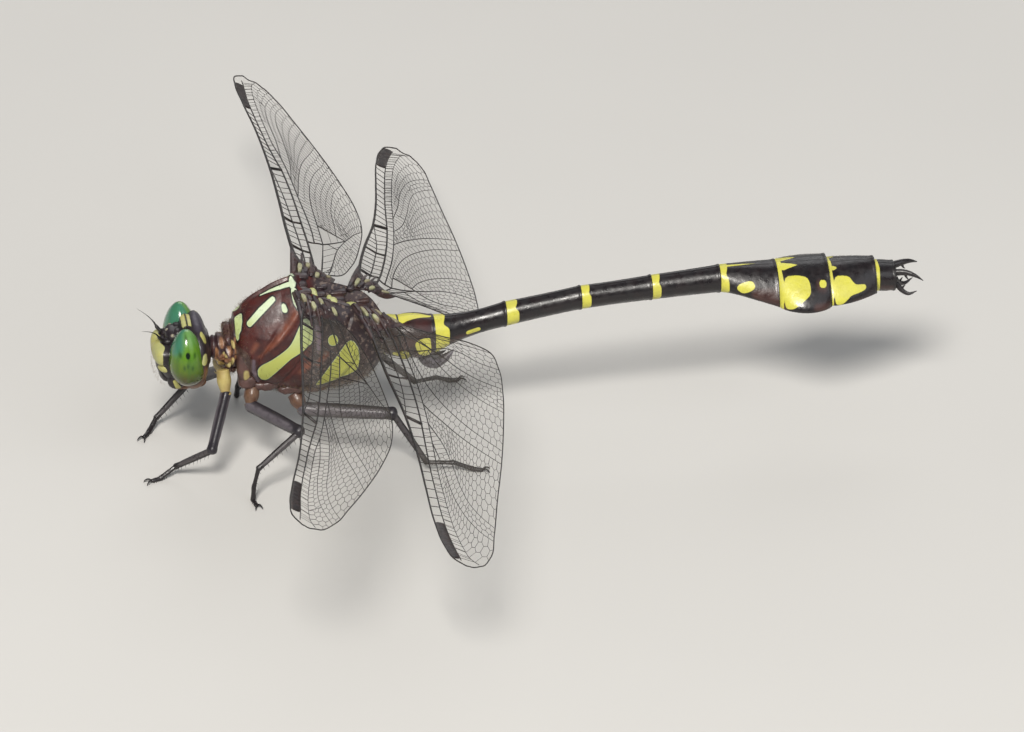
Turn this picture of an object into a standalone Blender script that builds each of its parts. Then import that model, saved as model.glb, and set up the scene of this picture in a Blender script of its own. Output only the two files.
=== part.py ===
"""A clubtail dragonfly at life size, standing on six feet with its wings spread.

Every size and place is in millimetres, from the middle of the head: X runs back along the body
to the tail, -Y is the insect's left and Z is the height above the floor. Blender works in metres,
so MM turns one into the other where a shape is made. When all the pieces are made, one empty
moves them together, so that the origin lies on the floor under the middle of the model.
"""

from math import cos, pi, radians, sin

import bmesh
import bpy
import numpy as np
from mathutils import Matrix, Vector

MM = 0.001

# ---------------------------------------------------------------- driving dimensions (mm)
GAP = 0.2                       # clearance between neighbouring plates
SIDES = {"left": -1.0, "right": 1.0}
HEAD_POINTS = 20                # points around an outline across the body
PROTHORAX_POINTS = 14
THORAX_POINTS = 24
RING_POINTS = 16
RING_PLACES = (0.12, 0.35, 0.65, 0.88)      # outlines between the two ends of an abdomen ring
EYE_SEGMENTS = 20
EYE_RINGS = 12
CREASE = 40.0                   # degrees above which an edge is drawn sharp
FLOOR_SLAB = (60.0, 60.0, 2.0)  # size of the guide that cuts the feet flat

EYE_MIDDLE = (-0.30, 2.35, 11.25)
EYE_RADII = (1.5, 1.9, 2.6)
EYE_TAPER = 0.18                # how much slimmer an eye is at its top than at its middle

# A station is: place along the body, height of the axis, half width, rise, drop, squareness.
HEAD = (
    (-3.05, 10.95, 1.40, 0.50, 0.70, 2.4),
    (-2.75, 10.80, 2.05, 0.95, 1.25, 2.6),
    (-2.10, 10.45, 2.35, 1.55, 2.05, 2.6),
    (-1.20, 10.30, 2.50, 2.55, 2.75, 2.5),
    (-0.30, 10.30, 2.80, 3.15, 3.10, 2.3),
    (0.50, 10.40, 3.30, 3.25, 3.20, 2.3),
    (1.20, 10.60, 3.75, 3.10, 3.00, 2.3),
    (1.80, 10.70, 3.30, 2.50, 2.45, 2.2),
    (2.22, 10.80, 1.80, 1.35, 1.45, 2.2),
)
PROTHORAX = (
    (2.43, 10.80, 0.90, 0.85, 0.95, 2.0),
    (2.80, 10.70, 1.35, 1.60, 1.60, 2.1),
    (3.25, 10.60, 1.75, 2.30, 2.30, 2.2),
    (3.80, 10.60, 1.95, 2.60, 2.50, 2.2),
    (4.14, 10.70, 1.65, 2.10, 2.10, 2.2),
)
THORAX = (
    (4.36, 11.40, 1.50, 2.20, 2.20, 2.1),
    (4.70, 11.35, 2.20, 3.05, 3.05, 2.1),
    (5.60, 11.40, 2.95, 4.10, 4.10, 2.1),
    (6.80, 11.50, 3.45, 4.90, 4.90, 2.1),
    (8.20, 11.60, 3.70, 5.40, 5.35, 2.1),
    (9.30, 11.60, 3.75, 5.60, 5.50, 2.1),
    (10.20, 11.40, 3.70, 5.30, 5.30, 2.1),
    (12.00, 11.15, 3.50, 4.90, 4.95, 2.1),
    (13.80, 11.05, 3.20, 4.50, 4.55, 2.1),
    (15.30, 11.00, 2.80, 3.95, 3.90, 2.1),
    (16.30, 10.90, 2.20, 2.90, 2.80, 2.1),
    (16.75, 10.80, 1.60, 1.90, 1.80, 2.1),
)
# The abdomen is ten rings. Each row is the front of a ring, and the last row ends the tenth. After a
# station's numbers come the reach and the droop of the leaf-like edge along each side.
ABDOMEN_JOINTS = (
    (16.85, 10.70, 1.50, 1.65, 1.70, 2.1, 0.0, 0.0),
    (18.10, 10.50, 1.70, 1.70, 1.85, 2.1, 0.0, 0.0),
    (21.10, 10.35, 1.60, 1.70, 1.75, 2.1, 0.0, 0.0),
    (27.40, 11.85, 1.05, 1.05, 1.05, 2.0, 0.0, 0.0),
    (33.90, 12.95, 1.00, 1.00, 1.00, 2.0, 0.0, 0.0),
    (40.00, 13.45, 1.05, 1.05, 1.05, 2.0, 0.0, 0.0),
    (45.90, 13.85, 1.18, 1.18, 1.18, 2.0, 0.0, 0.0),
    (51.05, 13.85, 2.15, 1.50, 1.40, 2.1, 0.75, 1.40),
    (55.40, 13.75, 2.55, 1.42, 1.40, 2.1, 0.75, 1.40),
    (59.30, 13.50, 1.45, 1.32, 1.25, 2.1, 0.15, 0.35),
    (61.50, 13.00, 1.15, 1.05, 1.10, 2.1, 0.0, 0.0),
)
# How far the middle of a ring swells past the straight line between its two ends.
RING_SWELL = (0.08, 0.20, -0.30, -0.04, -0.04, -0.02, 0.02, 0.05, 0.05, 0.05)
# The same for the reach of its leaf-like edge.
LEAF_SWELL = (0.0, 0.0, 0.0, 0.0, 0.0, 0.0, 0.1, 1.1, 0.15, 0.05)

CERCUS_PATH = ((61.90, 0.60, 13.50), (62.45, 0.90, 13.50), (62.95, 1.20, 13.30), (63.40, 1.50, 13.00))
CERCUS_RADII = (0.38, 0.38, 0.32, 0.26)
EPIPROCT_PATH = ((61.95, 0.26, 12.30), (62.35, 0.70, 11.65), (62.80, 1.00, 11.40), (63.20, 1.20, 11.65))
EPIPROCT_RADII = (0.40, 0.36, 0.32, 0.26)
HAMULE_PATH = ((20.30, 0.0, 7.75), (21.20, 0.0, 7.55), (22.20, 0.0, 7.85), (22.90, 0.0, 8.55))
HAMULE_RADII = (0.45, 0.65, 0.50, 0.30)
ANTENNA_PATH = ((-2.45, 0.90, 12.40), (-2.65, 1.05, 12.80), (-3.20, 1.40, 13.35), (-3.90, 1.85, 13.75))
ANTENNA_RADII = (0.32, 0.28, 0.26, 0.25)

WING_THICKNESS = 0.5
# A wing is: root of its front edge, the way from there to its tip, and its slope to the rear.
WINGS = {
    "wing_fore_left": ((10.00, -2.0, 16.1), (-5.75, -39.9, 2.2), 26.0),
    "wing_fore_right": ((10.20, 2.0, 16.1), (-0.5, 40.9, -3.6), 28.0),
    "wing_hind_left": ((15.00, -2.1, 14.4), (2.8, -39.6, -1.5), 17.0),
    "wing_hind_right": ((15.00, 2.1, 14.4), (7.8, 38.1, -8.7), 26.0),
}
# Outline points: part of the wing's length, and millimetres behind its front line.
FORE_OUTLINE = (
    (0.010, 0.05), (0.080, -0.30), (0.200, -0.30), (0.360, -0.05), (0.525, 0.10), (0.710, -0.10),
    (0.850, -0.60), (0.930, -0.75), (0.978, -0.45), (1.000, 0.45), (0.990, 1.90), (0.935, 3.40),
    (0.850, 4.60), (0.740, 6.00), (0.600, 7.50), (0.490, 8.30), (0.400, 8.35), (0.270, 7.30),
    (0.140, 5.60), (0.070, 4.10), (0.040, 2.40),
)
HIND_OUTLINE = (
    (0.010, 0.05), (0.100, -0.20), (0.250, -0.20), (0.430, 0.10), (0.580, -0.10), (0.710, -0.50),
    (0.840, -0.85), (0.930, -0.75), (0.980, -0.25), (1.000, 0.60), (0.992, 2.00), (0.950, 3.20),
    (0.860, 4.30), (0.720, 5.80), (0.560, 7.60), (0.400, 9.20), (0.260, 10.40), (0.160, 10.90),
    (0.095, 10.60), (0.070, 9.00), (0.060, 6.50), (0.045, 4.20), (0.030, 2.20),
)

# A leg is: socket in the body, hip, knee, ankle, arch of the foot, ball of the foot and toe.
FOOT_AXIS = 0.18                # height of a foot's middle line at the toe, less than its radius
LEGS = {
    "leg_fore_left": (
        (3.30, -1.55, 8.15), (3.05, -2.00, 7.05), (1.40, -5.50, 3.65), (-1.50, -3.30, 0.95),
        (-2.30, -3.60, 0.50), (-2.90, -3.85, 0.20), (-3.60, -4.10, FOOT_AXIS)),
    "leg_fore_right": (
        (3.30, 1.55, 8.15), (3.05, 2.00, 7.05), (1.00, 5.90, 3.90), (-2.20, 4.90, 0.95),
        (-2.60, 4.40, 0.50), (-3.00, 3.85, 0.20), (-3.45, 3.15, FOOT_AXIS)),
    "leg_mid_left": (
        (5.30, -1.95, 6.90), (5.10, -2.45, 6.00), (8.80, -7.00, 5.80), (5.10, -7.90, 2.95),
        (4.65, -8.20, 1.30), (4.55, -8.50, 0.22), (4.75, -9.30, FOOT_AXIS)),
    "leg_mid_right": (
        (5.30, 1.95, 6.90), (5.10, 2.45, 6.00), (8.80, 7.00, 5.80), (5.60, 8.10, 2.95),
        (5.30, 8.50, 1.30), (5.25, 8.85, 0.22), (5.45, 9.60, FOOT_AXIS)),
    "leg_hind_left": (
        (9.20, -1.95, 6.00), (9.60, -2.50, 5.30), (17.10, -4.80, 5.60), (19.90, -5.60, 0.95),
        (22.20, -5.95, 0.95), (23.80, -6.15, 0.30), (24.60, -6.25, FOOT_AXIS)),
    "leg_hind_right": (
        (9.20, 1.95, 6.00), (9.60, 2.50, 5.30), (16.90, 6.30, 5.40), (20.70, 7.80, 0.95),
        (22.60, 8.35, 0.90), (23.80, 8.70, 0.30), (24.60, 8.90, FOOT_AXIS)),
}
COXA_RADII = {"fore": (0.70, 0.50), "mid": (0.75, 0.55), "hind": (0.75, 0.55)}
FEMUR_RADII = {"fore": (0.42, 0.34), "mid": (0.48, 0.38), "hind": (0.55, 0.42)}
TIBIA_RADII = (0.30, 0.26)
TARSUS_RADII = (0.26, 0.25, 0.25, 0.25)
BALL = (-1.0, -0.8, -0.4, 0.0)  # places along a rounded end, in radii
TIP_FLAT = 0.3                  # radius of the little flat that ends a limb, as a part of its own

BLACK = ((0.018, 0.012, 0.014), 0.30)
MAROON = ((0.085, 0.016, 0.012), 0.32)
GREEN = ((0.030, 0.240, 0.045), 0.12)
BROWN = ((0.120, 0.060, 0.030), 0.45)
GREY = ((0.060, 0.055, 0.065), 0.35)
WING_CLEAR = ((0.450, 0.400, 0.320), 0.15)


# ---------------------------------------------------------------- scene helpers
def clear_scene():
    for obj in list(bpy.data.objects):
        bpy.data.objects.remove(obj, do_unlink=True)


def new_collection(name):
    collection = bpy.data.collections.new(name)
    bpy.context.scene.collection.children.link(collection)
    return collection


def finish(obj, look):
    """Give the object a material of its own."""
    colour, roughness = look
    material = bpy.data.materials.new(obj.name)
    material.use_nodes = True
    shader = material.node_tree.nodes["Principled BSDF"]
    shader.inputs["Base Color"].default_value = (*colour, 1.0)
    shader.inputs["Roughness"].default_value = roughness
    shader.inputs["Metallic"].default_value = 0.0
    obj.data.materials.append(material)


def place(obj, anchor, look, model):
    """Put an object at its anchor point, under the model's empty."""
    obj.location = Vector(anchor) * MM
    obj.parent = model["origin"]
    model["parts"].objects.link(obj)
    finish(obj, look)
    return obj


def side_point(point, side):
    """A point given for the right side, on the wanted side."""
    return (point[0], point[1] * side, point[2])


# ---------------------------------------------------------------- shapes
def section(station, count):
    """The closed outline across the body at one station: a superellipse, wider or deeper by half."""
    x, height, width, rise, drop, power = station[:6]
    angle = np.linspace(0.0, 2.0 * pi, count, endpoint=False)
    across = np.sign(np.cos(angle)) * np.abs(np.cos(angle)) ** (2.0 / power)
    upward = np.sign(np.sin(angle)) * np.abs(np.sin(angle)) ** (2.0 / power)
    z = height + np.where(upward > 0.0, rise, drop) * upward
    return np.stack([np.full(count, x), width * across, z], axis=1)


def loft(name, outlines, anchor, look, model):
    """A closed body through a row of outlines, with flat ends."""
    bm = bmesh.new()
    rings = []
    for outline in outlines:
        rings.append([bm.verts.new((Vector(point) - Vector(anchor)) * MM) for point in outline])
    for front, back in zip(rings, rings[1:]):
        for i, vert in enumerate(front):
            j = (i + 1) % len(front)
            bm.faces.new((vert, front[j], back[j], back[i]))
    bm.faces.new(rings[0])
    bm.faces.new(rings[-1])
    bmesh.ops.recalc_face_normals(bm, faces=bm.faces)
    mesh = bpy.data.meshes.new(name)
    bm.to_mesh(mesh)
    bm.free()
    mesh.shade_smooth()
    mesh.set_sharp_from_angle(angle=radians(CREASE))
    return place(bpy.data.objects.new(name, mesh), anchor, look, model)


def limb_curve(name, path, radii, anchor):
    """A tapering tube through the path's points, with rounded ends."""
    points = [Vector(point) for point in path]
    first = (points[0] - points[1]).normalized()
    last = (points[-1] - points[-2]).normalized()
    stops = [(points[0] - first * t * radii[0], radii[0] * end_radius(t)) for t in BALL]
    stops += list(zip(points[1:-1], radii[1:-1]))
    stops += [(points[-1] - last * t * radii[-1], radii[-1] * end_radius(t)) for t in reversed(BALL)]
    thickest = max(radii)
    curve = bpy.data.curves.new(name, "CURVE")
    curve.dimensions = "3D"
    curve.bevel_depth = thickest * MM
    curve.bevel_resolution = 2
    curve.use_fill_caps = True
    spline = curve.splines.new("POLY")
    spline.points.add(len(stops) - 1)
    for knot, (point, radius) in zip(spline.points, stops):
        knot.co = (*((point - Vector(anchor)) * MM), 1.0)
        knot.radius = radius / thickest
    return bpy.data.objects.new(name, curve)


def end_radius(t):
    """Radius of a ball's slice at t radii from its middle, never less than the end's flat."""
    return max(TIP_FLAT, (1.0 - t * t) ** 0.5)


def as_mesh(obj):
    """Replace a tube's curve object by a mesh object with welded caps."""
    bpy.context.view_layer.update()
    evaluated = obj.evaluated_get(bpy.context.evaluated_depsgraph_get())
    mesh = bpy.data.meshes.new_from_object(evaluated)
    bm = bmesh.new()
    bm.from_mesh(mesh)
    bmesh.ops.remove_doubles(bm, verts=bm.verts, dist=1e-6)
    bmesh.ops.recalc_face_normals(bm, faces=bm.faces)
    bm.to_mesh(mesh)
    bm.free()
    name = obj.name
    solid = bpy.data.objects.new(name + "_solid", mesh)
    solid.matrix_world = obj.matrix_world
    solid.parent = obj.parent
    for collection in obj.users_collection:
        collection.objects.link(solid)
    bpy.data.objects.remove(obj, do_unlink=True)
    solid.name = name
    return solid


def cut(obj, cutter):
    """Take the cutter's shape out of an object."""
    modifier = obj.modifiers.new("cut_" + cutter.name, "BOOLEAN")
    modifier.operation = "DIFFERENCE"
    modifier.solver = "EXACT"
    modifier.object = cutter


def union(obj, other):
    """Join another solid to an object; the other one becomes a hidden guide."""
    modifier = obj.modifiers.new("join_" + other.name, "BOOLEAN")
    modifier.operation = "UNION"
    modifier.solver = "EXACT"
    modifier.object = other


def hide_guide(obj, model):
    for collection in list(obj.users_collection):
        collection.objects.unlink(obj)
    model["guides"].objects.link(obj)
    obj.parent = model["origin"]
    obj.hide_render = True
    obj.display_type = "WIRE"


# ---------------------------------------------------------------- head
def egg(name, radii):
    """A ball squeezed to three radii and slimmer towards its top."""
    bm = bmesh.new()
    bmesh.ops.create_uvsphere(bm, u_segments=EYE_SEGMENTS, v_segments=EYE_RINGS, radius=1.0)
    for vert in bm.verts:
        slim = 1.0 - EYE_TAPER * vert.co.z
        shape = Vector((vert.co.x * slim * radii[0], vert.co.y * slim * radii[1], vert.co.z * radii[2]))
        vert.co = shape * MM
    mesh = bpy.data.meshes.new(name)
    bm.to_mesh(mesh)
    bm.free()
    mesh.shade_smooth()
    return bpy.data.objects.new(name, mesh)


def make_head(model):
    """The head capsule, with a socket that each eye sits in."""
    anchor = (2.22, 0.0, 10.8)
    head = loft("head", [section(station, HEAD_POINTS) for station in HEAD], anchor, MAROON, model)
    for side_name, side in SIDES.items():
        socket = egg("socket_" + side_name, [radius + GAP for radius in EYE_RADII])
        socket.location = Vector(side_point(EYE_MIDDLE, side)) * MM
        hide_guide(socket, model)
        cut(head, socket)


def make_eyes(model):
    for side_name, side in SIDES.items():
        eye = egg("eye_" + side_name, EYE_RADII)
        place(eye, side_point(EYE_MIDDLE, side), GREEN, model)


def make_antennae(model):
    for side_name, side in SIDES.items():
        path = [side_point(point, side) for point in ANTENNA_PATH]
        antenna = limb_curve("antenna_" + side_name, path, ANTENNA_RADII, path[0])
        place(antenna, path[0], BLACK, model)


# ---------------------------------------------------------------- body
def make_thorax(model):
    neck = [section(station, PROTHORAX_POINTS) for station in PROTHORAX]
    loft("prothorax", neck, (3.3, 0.0, 10.6), BROWN, model)
    trunk = [section(station, THORAX_POINTS) for station in THORAX]
    loft("thorax", trunk, (10.5, 0.0, 11.4), MAROON, model)


def leaf(outline, station, reach, droop):
    """Draw the widest points of an outline out and down, into the leaf-like edges of the tail."""
    weight = np.abs(outline[:, 1] / station[2]) ** 3
    outline[:, 1] += np.sign(outline[:, 1]) * weight * reach
    outline[:, 2] -= weight * droop
    return outline


def ring_outlines(index):
    """The outlines of one abdomen ring, from front to back, with half the gap left at each end."""
    front = np.array(ABDOMEN_JOINTS[index - 1])
    back = np.array(ABDOMEN_JOINTS[index])
    inset = 0.5 * GAP / (back[0] - front[0])
    outlines = []
    for t in (inset, *RING_PLACES, 1.0 - inset):
        station = front + (back - front) * t
        station[2:5] += RING_SWELL[index - 1] * sin(pi * t)
        reach = station[6] + LEAF_SWELL[index - 1] * sin(pi * t) ** 0.6
        outlines.append(leaf(section(station, RING_POINTS), station, reach, station[7]))
    return outlines


def make_abdomen(model):
    for index in range(1, len(ABDOMEN_JOINTS)):
        x, height = ABDOMEN_JOINTS[index - 1][:2]
        loft(f"abdomen_{index:02d}", ring_outlines(index), (x, 0.0, height), BLACK, model)


def make_tail(model):
    """The two upper claspers, the forked lower one and the small plate under the second ring."""
    for side_name, side in SIDES.items():
        path = [side_point(point, side) for point in CERCUS_PATH]
        cercus = limb_curve("cercus_" + side_name, path, CERCUS_RADII, path[0])
        place(cercus, path[0], BLACK, model)
    halves = []
    for side_name, side in SIDES.items():
        path = [side_point(point, side) for point in EPIPROCT_PATH]
        prong = limb_curve("prong_" + side_name, path, EPIPROCT_RADII, path[0])
        halves.append(as_mesh(place(prong, path[0], BLACK, model)))
    halves[0].name = "epiproct"
    union(halves[0], halves[1])
    hide_guide(halves[1], model)
    hamules = limb_curve("hamules", HAMULE_PATH, HAMULE_RADII, HAMULE_PATH[0])
    place(hamules, HAMULE_PATH[0], GREY, model)


# ---------------------------------------------------------------- wings
def wing_turn(way, slope):
    """Axes of a wing: along it, back across it, and square to both."""
    along = Vector(way).normalized()
    back = Vector((1.0, 0.0, 0.0))
    back = (back - along * back.dot(along)).normalized()
    up = along.cross(back)
    up = up if up.z > 0.0 else -up
    back = back * cos(radians(slope)) - up * sin(radians(slope))
    return along, back, along.cross(back)


def make_wings(model):
    for name, (root, way, slope) in WINGS.items():
        outline = FORE_OUTLINE if "fore" in name else HIND_OUTLINE
        length = Vector(way).length
        curve = bpy.data.curves.new(name, "CURVE")
        curve.dimensions = "2D"
        curve.fill_mode = "BOTH"
        curve.extrude = 0.5 * WING_THICKNESS * MM
        curve.resolution_u = 3
        spline = curve.splines.new("BEZIER")
        spline.bezier_points.add(len(outline) - 1)
        for knot, (part, behind) in zip(spline.bezier_points, outline):
            knot.co = (part * length * MM, behind * MM, 0.0)
            knot.handle_left_type = "AUTO"
            knot.handle_right_type = "AUTO"
        spline.use_cyclic_u = True
        wing = bpy.data.objects.new(name, curve)
        place(wing, root, WING_CLEAR, model)
        wing.rotation_euler = Matrix(wing_turn(way, slope)).transposed().to_euler()


# ---------------------------------------------------------------- legs
def joint_trim(before, joint, after, radius_a, radius_b):
    """How far from a bent joint a rounded end stops, so that it clears its neighbour by the gap."""
    to_before = (Vector(before) - Vector(joint)).normalized()
    to_after = (Vector(after) - Vector(joint)).normalized()
    half_angle = 0.5 * to_before.angle(to_after)
    return (radius_a + radius_b + GAP) / (2.0 * sin(half_angle))


def shorten(start, end, trim_start, trim_end):
    """Pull the two ends of a straight limb in along it."""
    way = (Vector(end) - Vector(start)).normalized()
    return Vector(start) + way * trim_start, Vector(end) - way * trim_end


def make_leg(name, joints, model, floor):
    socket, hip, knee, ankle, arch, ball, toe = joints
    place_name = name.split("_")[1]
    coxa, femur = COXA_RADII[place_name], FEMUR_RADII[place_name]
    at_hip = joint_trim(socket, hip, knee, coxa[1], femur[0])
    at_knee = joint_trim(hip, knee, ankle, femur[1], TIBIA_RADII[0])
    at_ankle = joint_trim(knee, ankle, arch, TIBIA_RADII[1], TARSUS_RADII[0])
    segments = (
        ("coxa", socket, hip, coxa, 0.0, at_hip, BROWN),
        ("femur", hip, knee, femur, at_hip, at_knee, GREY),
        ("tibia", knee, ankle, TIBIA_RADII, at_knee, at_ankle, BLACK),
    )
    for part_name, start, end, radii, trim_start, trim_end, look in segments:
        path = shorten(start, end, trim_start, trim_end)
        limb = limb_curve(f"{name}_{part_name}", path, radii, start)
        place(limb, start, look, model)
    first, _ = shorten(ankle, arch, at_ankle, 0.0)
    tarsus = limb_curve(f"{name}_tarsus", (first, arch, ball, toe), TARSUS_RADII, ankle)
    cut(as_mesh(place(tarsus, ankle, BLACK, model)), floor)


def make_legs(model):
    """Six legs of four pieces each; every foot has a small flat on the floor."""
    bm = bmesh.new()
    bmesh.ops.create_cube(bm, size=1.0)
    bmesh.ops.scale(bm, vec=Vector(FLOOR_SLAB) * MM, verts=bm.verts)
    mesh = bpy.data.meshes.new("floor")
    bm.to_mesh(mesh)
    bm.free()
    floor = bpy.data.objects.new("floor", mesh)
    floor.location = Vector((10.0, 0.0, -0.5 * FLOOR_SLAB[2])) * MM
    hide_guide(floor, model)
    for name, joints in LEGS.items():
        make_leg(name, joints, model, floor)


# ---------------------------------------------------------------- whole model
def centre_on_floor(model):
    """Move everything together, so that the origin is on the floor under the middle."""
    bpy.context.view_layer.update()
    depsgraph = bpy.context.evaluated_depsgraph_get()
    corners = []
    for obj in model["parts"].objects:
        if obj.type == "EMPTY":
            continue
        evaluated = obj.evaluated_get(depsgraph)
        mesh = evaluated.to_mesh()
        places = np.empty(3 * len(mesh.vertices))
        mesh.vertices.foreach_get("co", places)
        world = np.array(obj.matrix_world)
        places = places.reshape(-1, 3) @ world[:3, :3].T + world[:3, 3]
        corners += [places.min(axis=0), places.max(axis=0)]
        evaluated.to_mesh_clear()
    middle = 0.5 * (np.min(corners, axis=0) + np.max(corners, axis=0))
    model["origin"].location = (-middle[0], -middle[1], 0.0)


def main():
    clear_scene()
    model = {"parts": new_collection("dragonfly"), "guides": new_collection("guides")}
    model["origin"] = bpy.data.objects.new("dragonfly_origin", None)
    model["parts"].objects.link(model["origin"])
    make_head(model)
    make_eyes(model)
    make_antennae(model)
    make_thorax(model)
    make_abdomen(model)
    make_tail(model)
    make_wings(model)
    make_legs(model)
    centre_on_floor(model)


main()
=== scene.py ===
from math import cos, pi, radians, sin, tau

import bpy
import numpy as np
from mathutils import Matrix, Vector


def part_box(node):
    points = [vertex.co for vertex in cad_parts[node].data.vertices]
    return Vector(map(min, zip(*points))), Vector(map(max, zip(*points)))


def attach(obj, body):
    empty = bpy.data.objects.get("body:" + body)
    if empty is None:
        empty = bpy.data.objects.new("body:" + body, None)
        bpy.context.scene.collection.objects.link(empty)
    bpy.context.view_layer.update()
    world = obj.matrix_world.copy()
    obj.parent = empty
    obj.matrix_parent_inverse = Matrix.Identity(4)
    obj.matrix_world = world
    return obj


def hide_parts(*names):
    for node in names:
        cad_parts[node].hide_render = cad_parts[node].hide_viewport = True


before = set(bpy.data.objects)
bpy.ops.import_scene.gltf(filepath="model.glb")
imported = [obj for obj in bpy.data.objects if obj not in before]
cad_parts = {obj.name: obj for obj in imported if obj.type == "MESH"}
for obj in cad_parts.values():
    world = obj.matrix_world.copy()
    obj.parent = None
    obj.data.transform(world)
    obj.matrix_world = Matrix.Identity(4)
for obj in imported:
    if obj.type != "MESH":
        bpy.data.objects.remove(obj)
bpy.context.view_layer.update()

# The looks of a life-size dragonfly: shell plates, compound eyes, netted wings, legs and hairs.
#
# Sizes are worked out in millimetres in the maker's own axes: X runs back from the middle of the
# head, -Y is the insect's left and Z is the height above the floor. SHIFT moves them onto the frame.

bl_info = {
    "name": "Dragonfly",
    "version": (1, 0, 0),
    "blender": (4, 5, 0),
    "location": "View3D > Sidebar > Dragonfly",
    "description": "Builds the looks of a life-size dragonfly around its solid frame",
    "category": "Object",
}

MM = 0.001
SIDES = {"left": -1.0, "right": 1.0}
OUTSIDE = -9.0                  # a mark's value at points far outside it

# ---------------------------------------------------------------- driving sizes (mm)
EYE_MIDDLE = (-0.3, 2.35, 11.25)
EYE_RADII = (1.5, 1.9, 2.6)
EYE_TAPER = 0.18
# Middles of the pale echoes of the eye's dark spot, as parts of the eye's radii.
EYE_ECHOES = ((-0.45, 0.38), (0.36, 0.36), (-0.26, -0.02), (0.2, -0.04), (-0.08, 0.86), (-0.06, 0.05))

# A station is: place along the body, height of the axis, half width, rise, drop, squareness.
HEAD = (
    (-2.55, 10.60, 1.50, 0.90, 1.20, 2.4),
    (-2.10, 10.45, 2.05, 1.30, 1.80, 2.5),
    (-1.20, 10.30, 2.35, 2.10, 2.60, 2.4),
    (-0.30, 10.30, 2.65, 2.90, 2.95, 2.3),
    (0.35, 10.40, 3.25, 3.10, 3.10, 2.3),
    (0.85, 10.60, 3.60, 2.95, 2.95, 2.3),
    (1.35, 10.70, 3.20, 2.45, 2.40, 2.2),
    (1.75, 10.80, 1.90, 1.35, 1.45, 2.2),
)
PROTHORAX = (
    (2.20, 10.60, 0.95, 0.80, 1.00, 2.0),
    (2.75, 10.50, 1.30, 1.30, 1.50, 2.1),
    (3.20, 10.50, 1.65, 1.85, 2.10, 2.2),
    (3.70, 10.55, 1.85, 2.30, 2.40, 2.2),
    (4.20, 10.60, 1.60, 2.00, 2.05, 2.2),
)
THORAX = (
    (4.05, 11.50, 1.75, 2.25, 2.20, 2.3),
    (4.40, 11.40, 2.25, 2.55, 2.90, 2.2),
    (5.20, 11.40, 2.80, 3.50, 3.85, 2.0),
    (6.50, 11.50, 3.40, 4.30, 4.80, 1.9),
    (7.80, 11.60, 3.65, 4.90, 5.25, 1.9),
    (9.00, 11.60, 3.75, 5.25, 5.50, 2.0),
    (10.20, 11.40, 3.70, 5.25, 5.30, 2.1),
    (12.00, 11.15, 3.50, 4.85, 4.95, 2.1),
    (13.80, 11.05, 3.20, 4.45, 4.55, 2.1),
    (15.30, 11.00, 2.80, 3.90, 3.90, 2.1),
    (16.30, 10.90, 2.20, 2.85, 2.80, 2.1),
    (16.85, 10.80, 1.60, 1.85, 1.80, 2.1),
)
THORAX_START = 4.36             # where the thorax of the solid frame begins
# Height of the sunk back between the wing roots, along the body.
BACK_FLOOR = ((8.9, 17.6), (9.7, 16.2), (10.8, 15.15), (12.5, 14.15), (14.2, 13.35), (15.6, 12.9),
    (17.2, 12.5))

# Front of each abdomen ring, then the end of the tenth; reach and droop shape the leaf-like edges.
ABDOMEN_JOINTS = (
    (16.85, 10.70, 1.50, 1.65, 1.70, 2.1, 0.0, 0.0),
    (18.10, 10.50, 1.70, 1.70, 1.85, 2.1, 0.0, 0.0),
    (21.10, 10.35, 1.60, 1.70, 1.75, 2.1, 0.0, 0.0),
    (27.40, 11.85, 1.05, 1.05, 1.05, 2.0, 0.0, 0.0),
    (33.90, 12.95, 1.00, 1.00, 1.00, 2.0, 0.0, 0.0),
    (40.00, 13.45, 1.05, 1.05, 1.05, 2.0, 0.0, 0.0),
    (45.90, 13.85, 1.18, 1.18, 1.18, 2.0, 0.0, 0.0),
    (50.80, 13.85, 2.15, 1.12, 1.40, 2.1, 0.75, 1.40),
    (55.18, 13.75, 2.55, 1.32, 1.40, 2.1, 0.75, 1.40),
    (59.30, 13.40, 1.60, 1.34, 1.30, 2.1, 0.35, 0.75),
    (61.05, 12.92, 1.38, 1.22, 1.24, 2.1, 0.0, 0.0),
)
RING_SWELL = (0.08, 0.2, -0.3, -0.04, -0.04, -0.02, 0.02, 0.05, 0.05, 0.05)
LEAF_SWELL = (0.0, 0.0, 0.0, 0.0, 0.0, 0.0, 0.1, 1.1, 0.45, 0.0)
# Where a ring starts narrower than the end of the one before it: the height of its own middle, its
# half width, rise, drop, reach and droop.
NARROW_STARTS = {9: (13.75, 2.46, 0.96, 1.36, 0.72, 1.38), 10: (13.08, 1.5, 1.24, 1.27, 0.0, 0.0)}

CERCUS_PATH = ((60.6, 0.55, 13.42), (61.4, 0.68, 13.56), (62.1, 0.92, 13.6), (62.8, 1.26, 13.45),
    (63.44, 1.6, 13.12))
CERCUS_RADII = (0.26, 0.28, 0.23, 0.15, 0.03)
EPIPROCT_PATH = ((60.7, 0.2, 12.5), (61.35, 0.34, 12.18), (61.75, 0.62, 11.74), (62.25, 0.9, 11.5),
    (62.98, 1.14, 11.82))
EPIPROCT_RADII = (0.32, 0.27, 0.2, 0.15, 0.03)
HAMULE_PATH = ((20.1, 0.0, 8.35), (20.6, 0.0, 7.8), (21.3, 0.0, 7.55), (22.2, 0.0, 7.85),
    (23.0, 0.0, 8.6))
HAMULE_RADII = (0.35, 0.55, 0.62, 0.42, 0.08)
ANTENNA_PATH = ((-2.1, 0.8, 12.05), (-2.45, 0.92, 12.45), (-2.68, 1.06, 12.85), (-3.2, 1.4, 13.35),
    (-4.02, 1.92, 13.8))
ANTENNA_RADII = (0.18, 0.14, 0.07, 0.032, 0.012)

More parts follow.
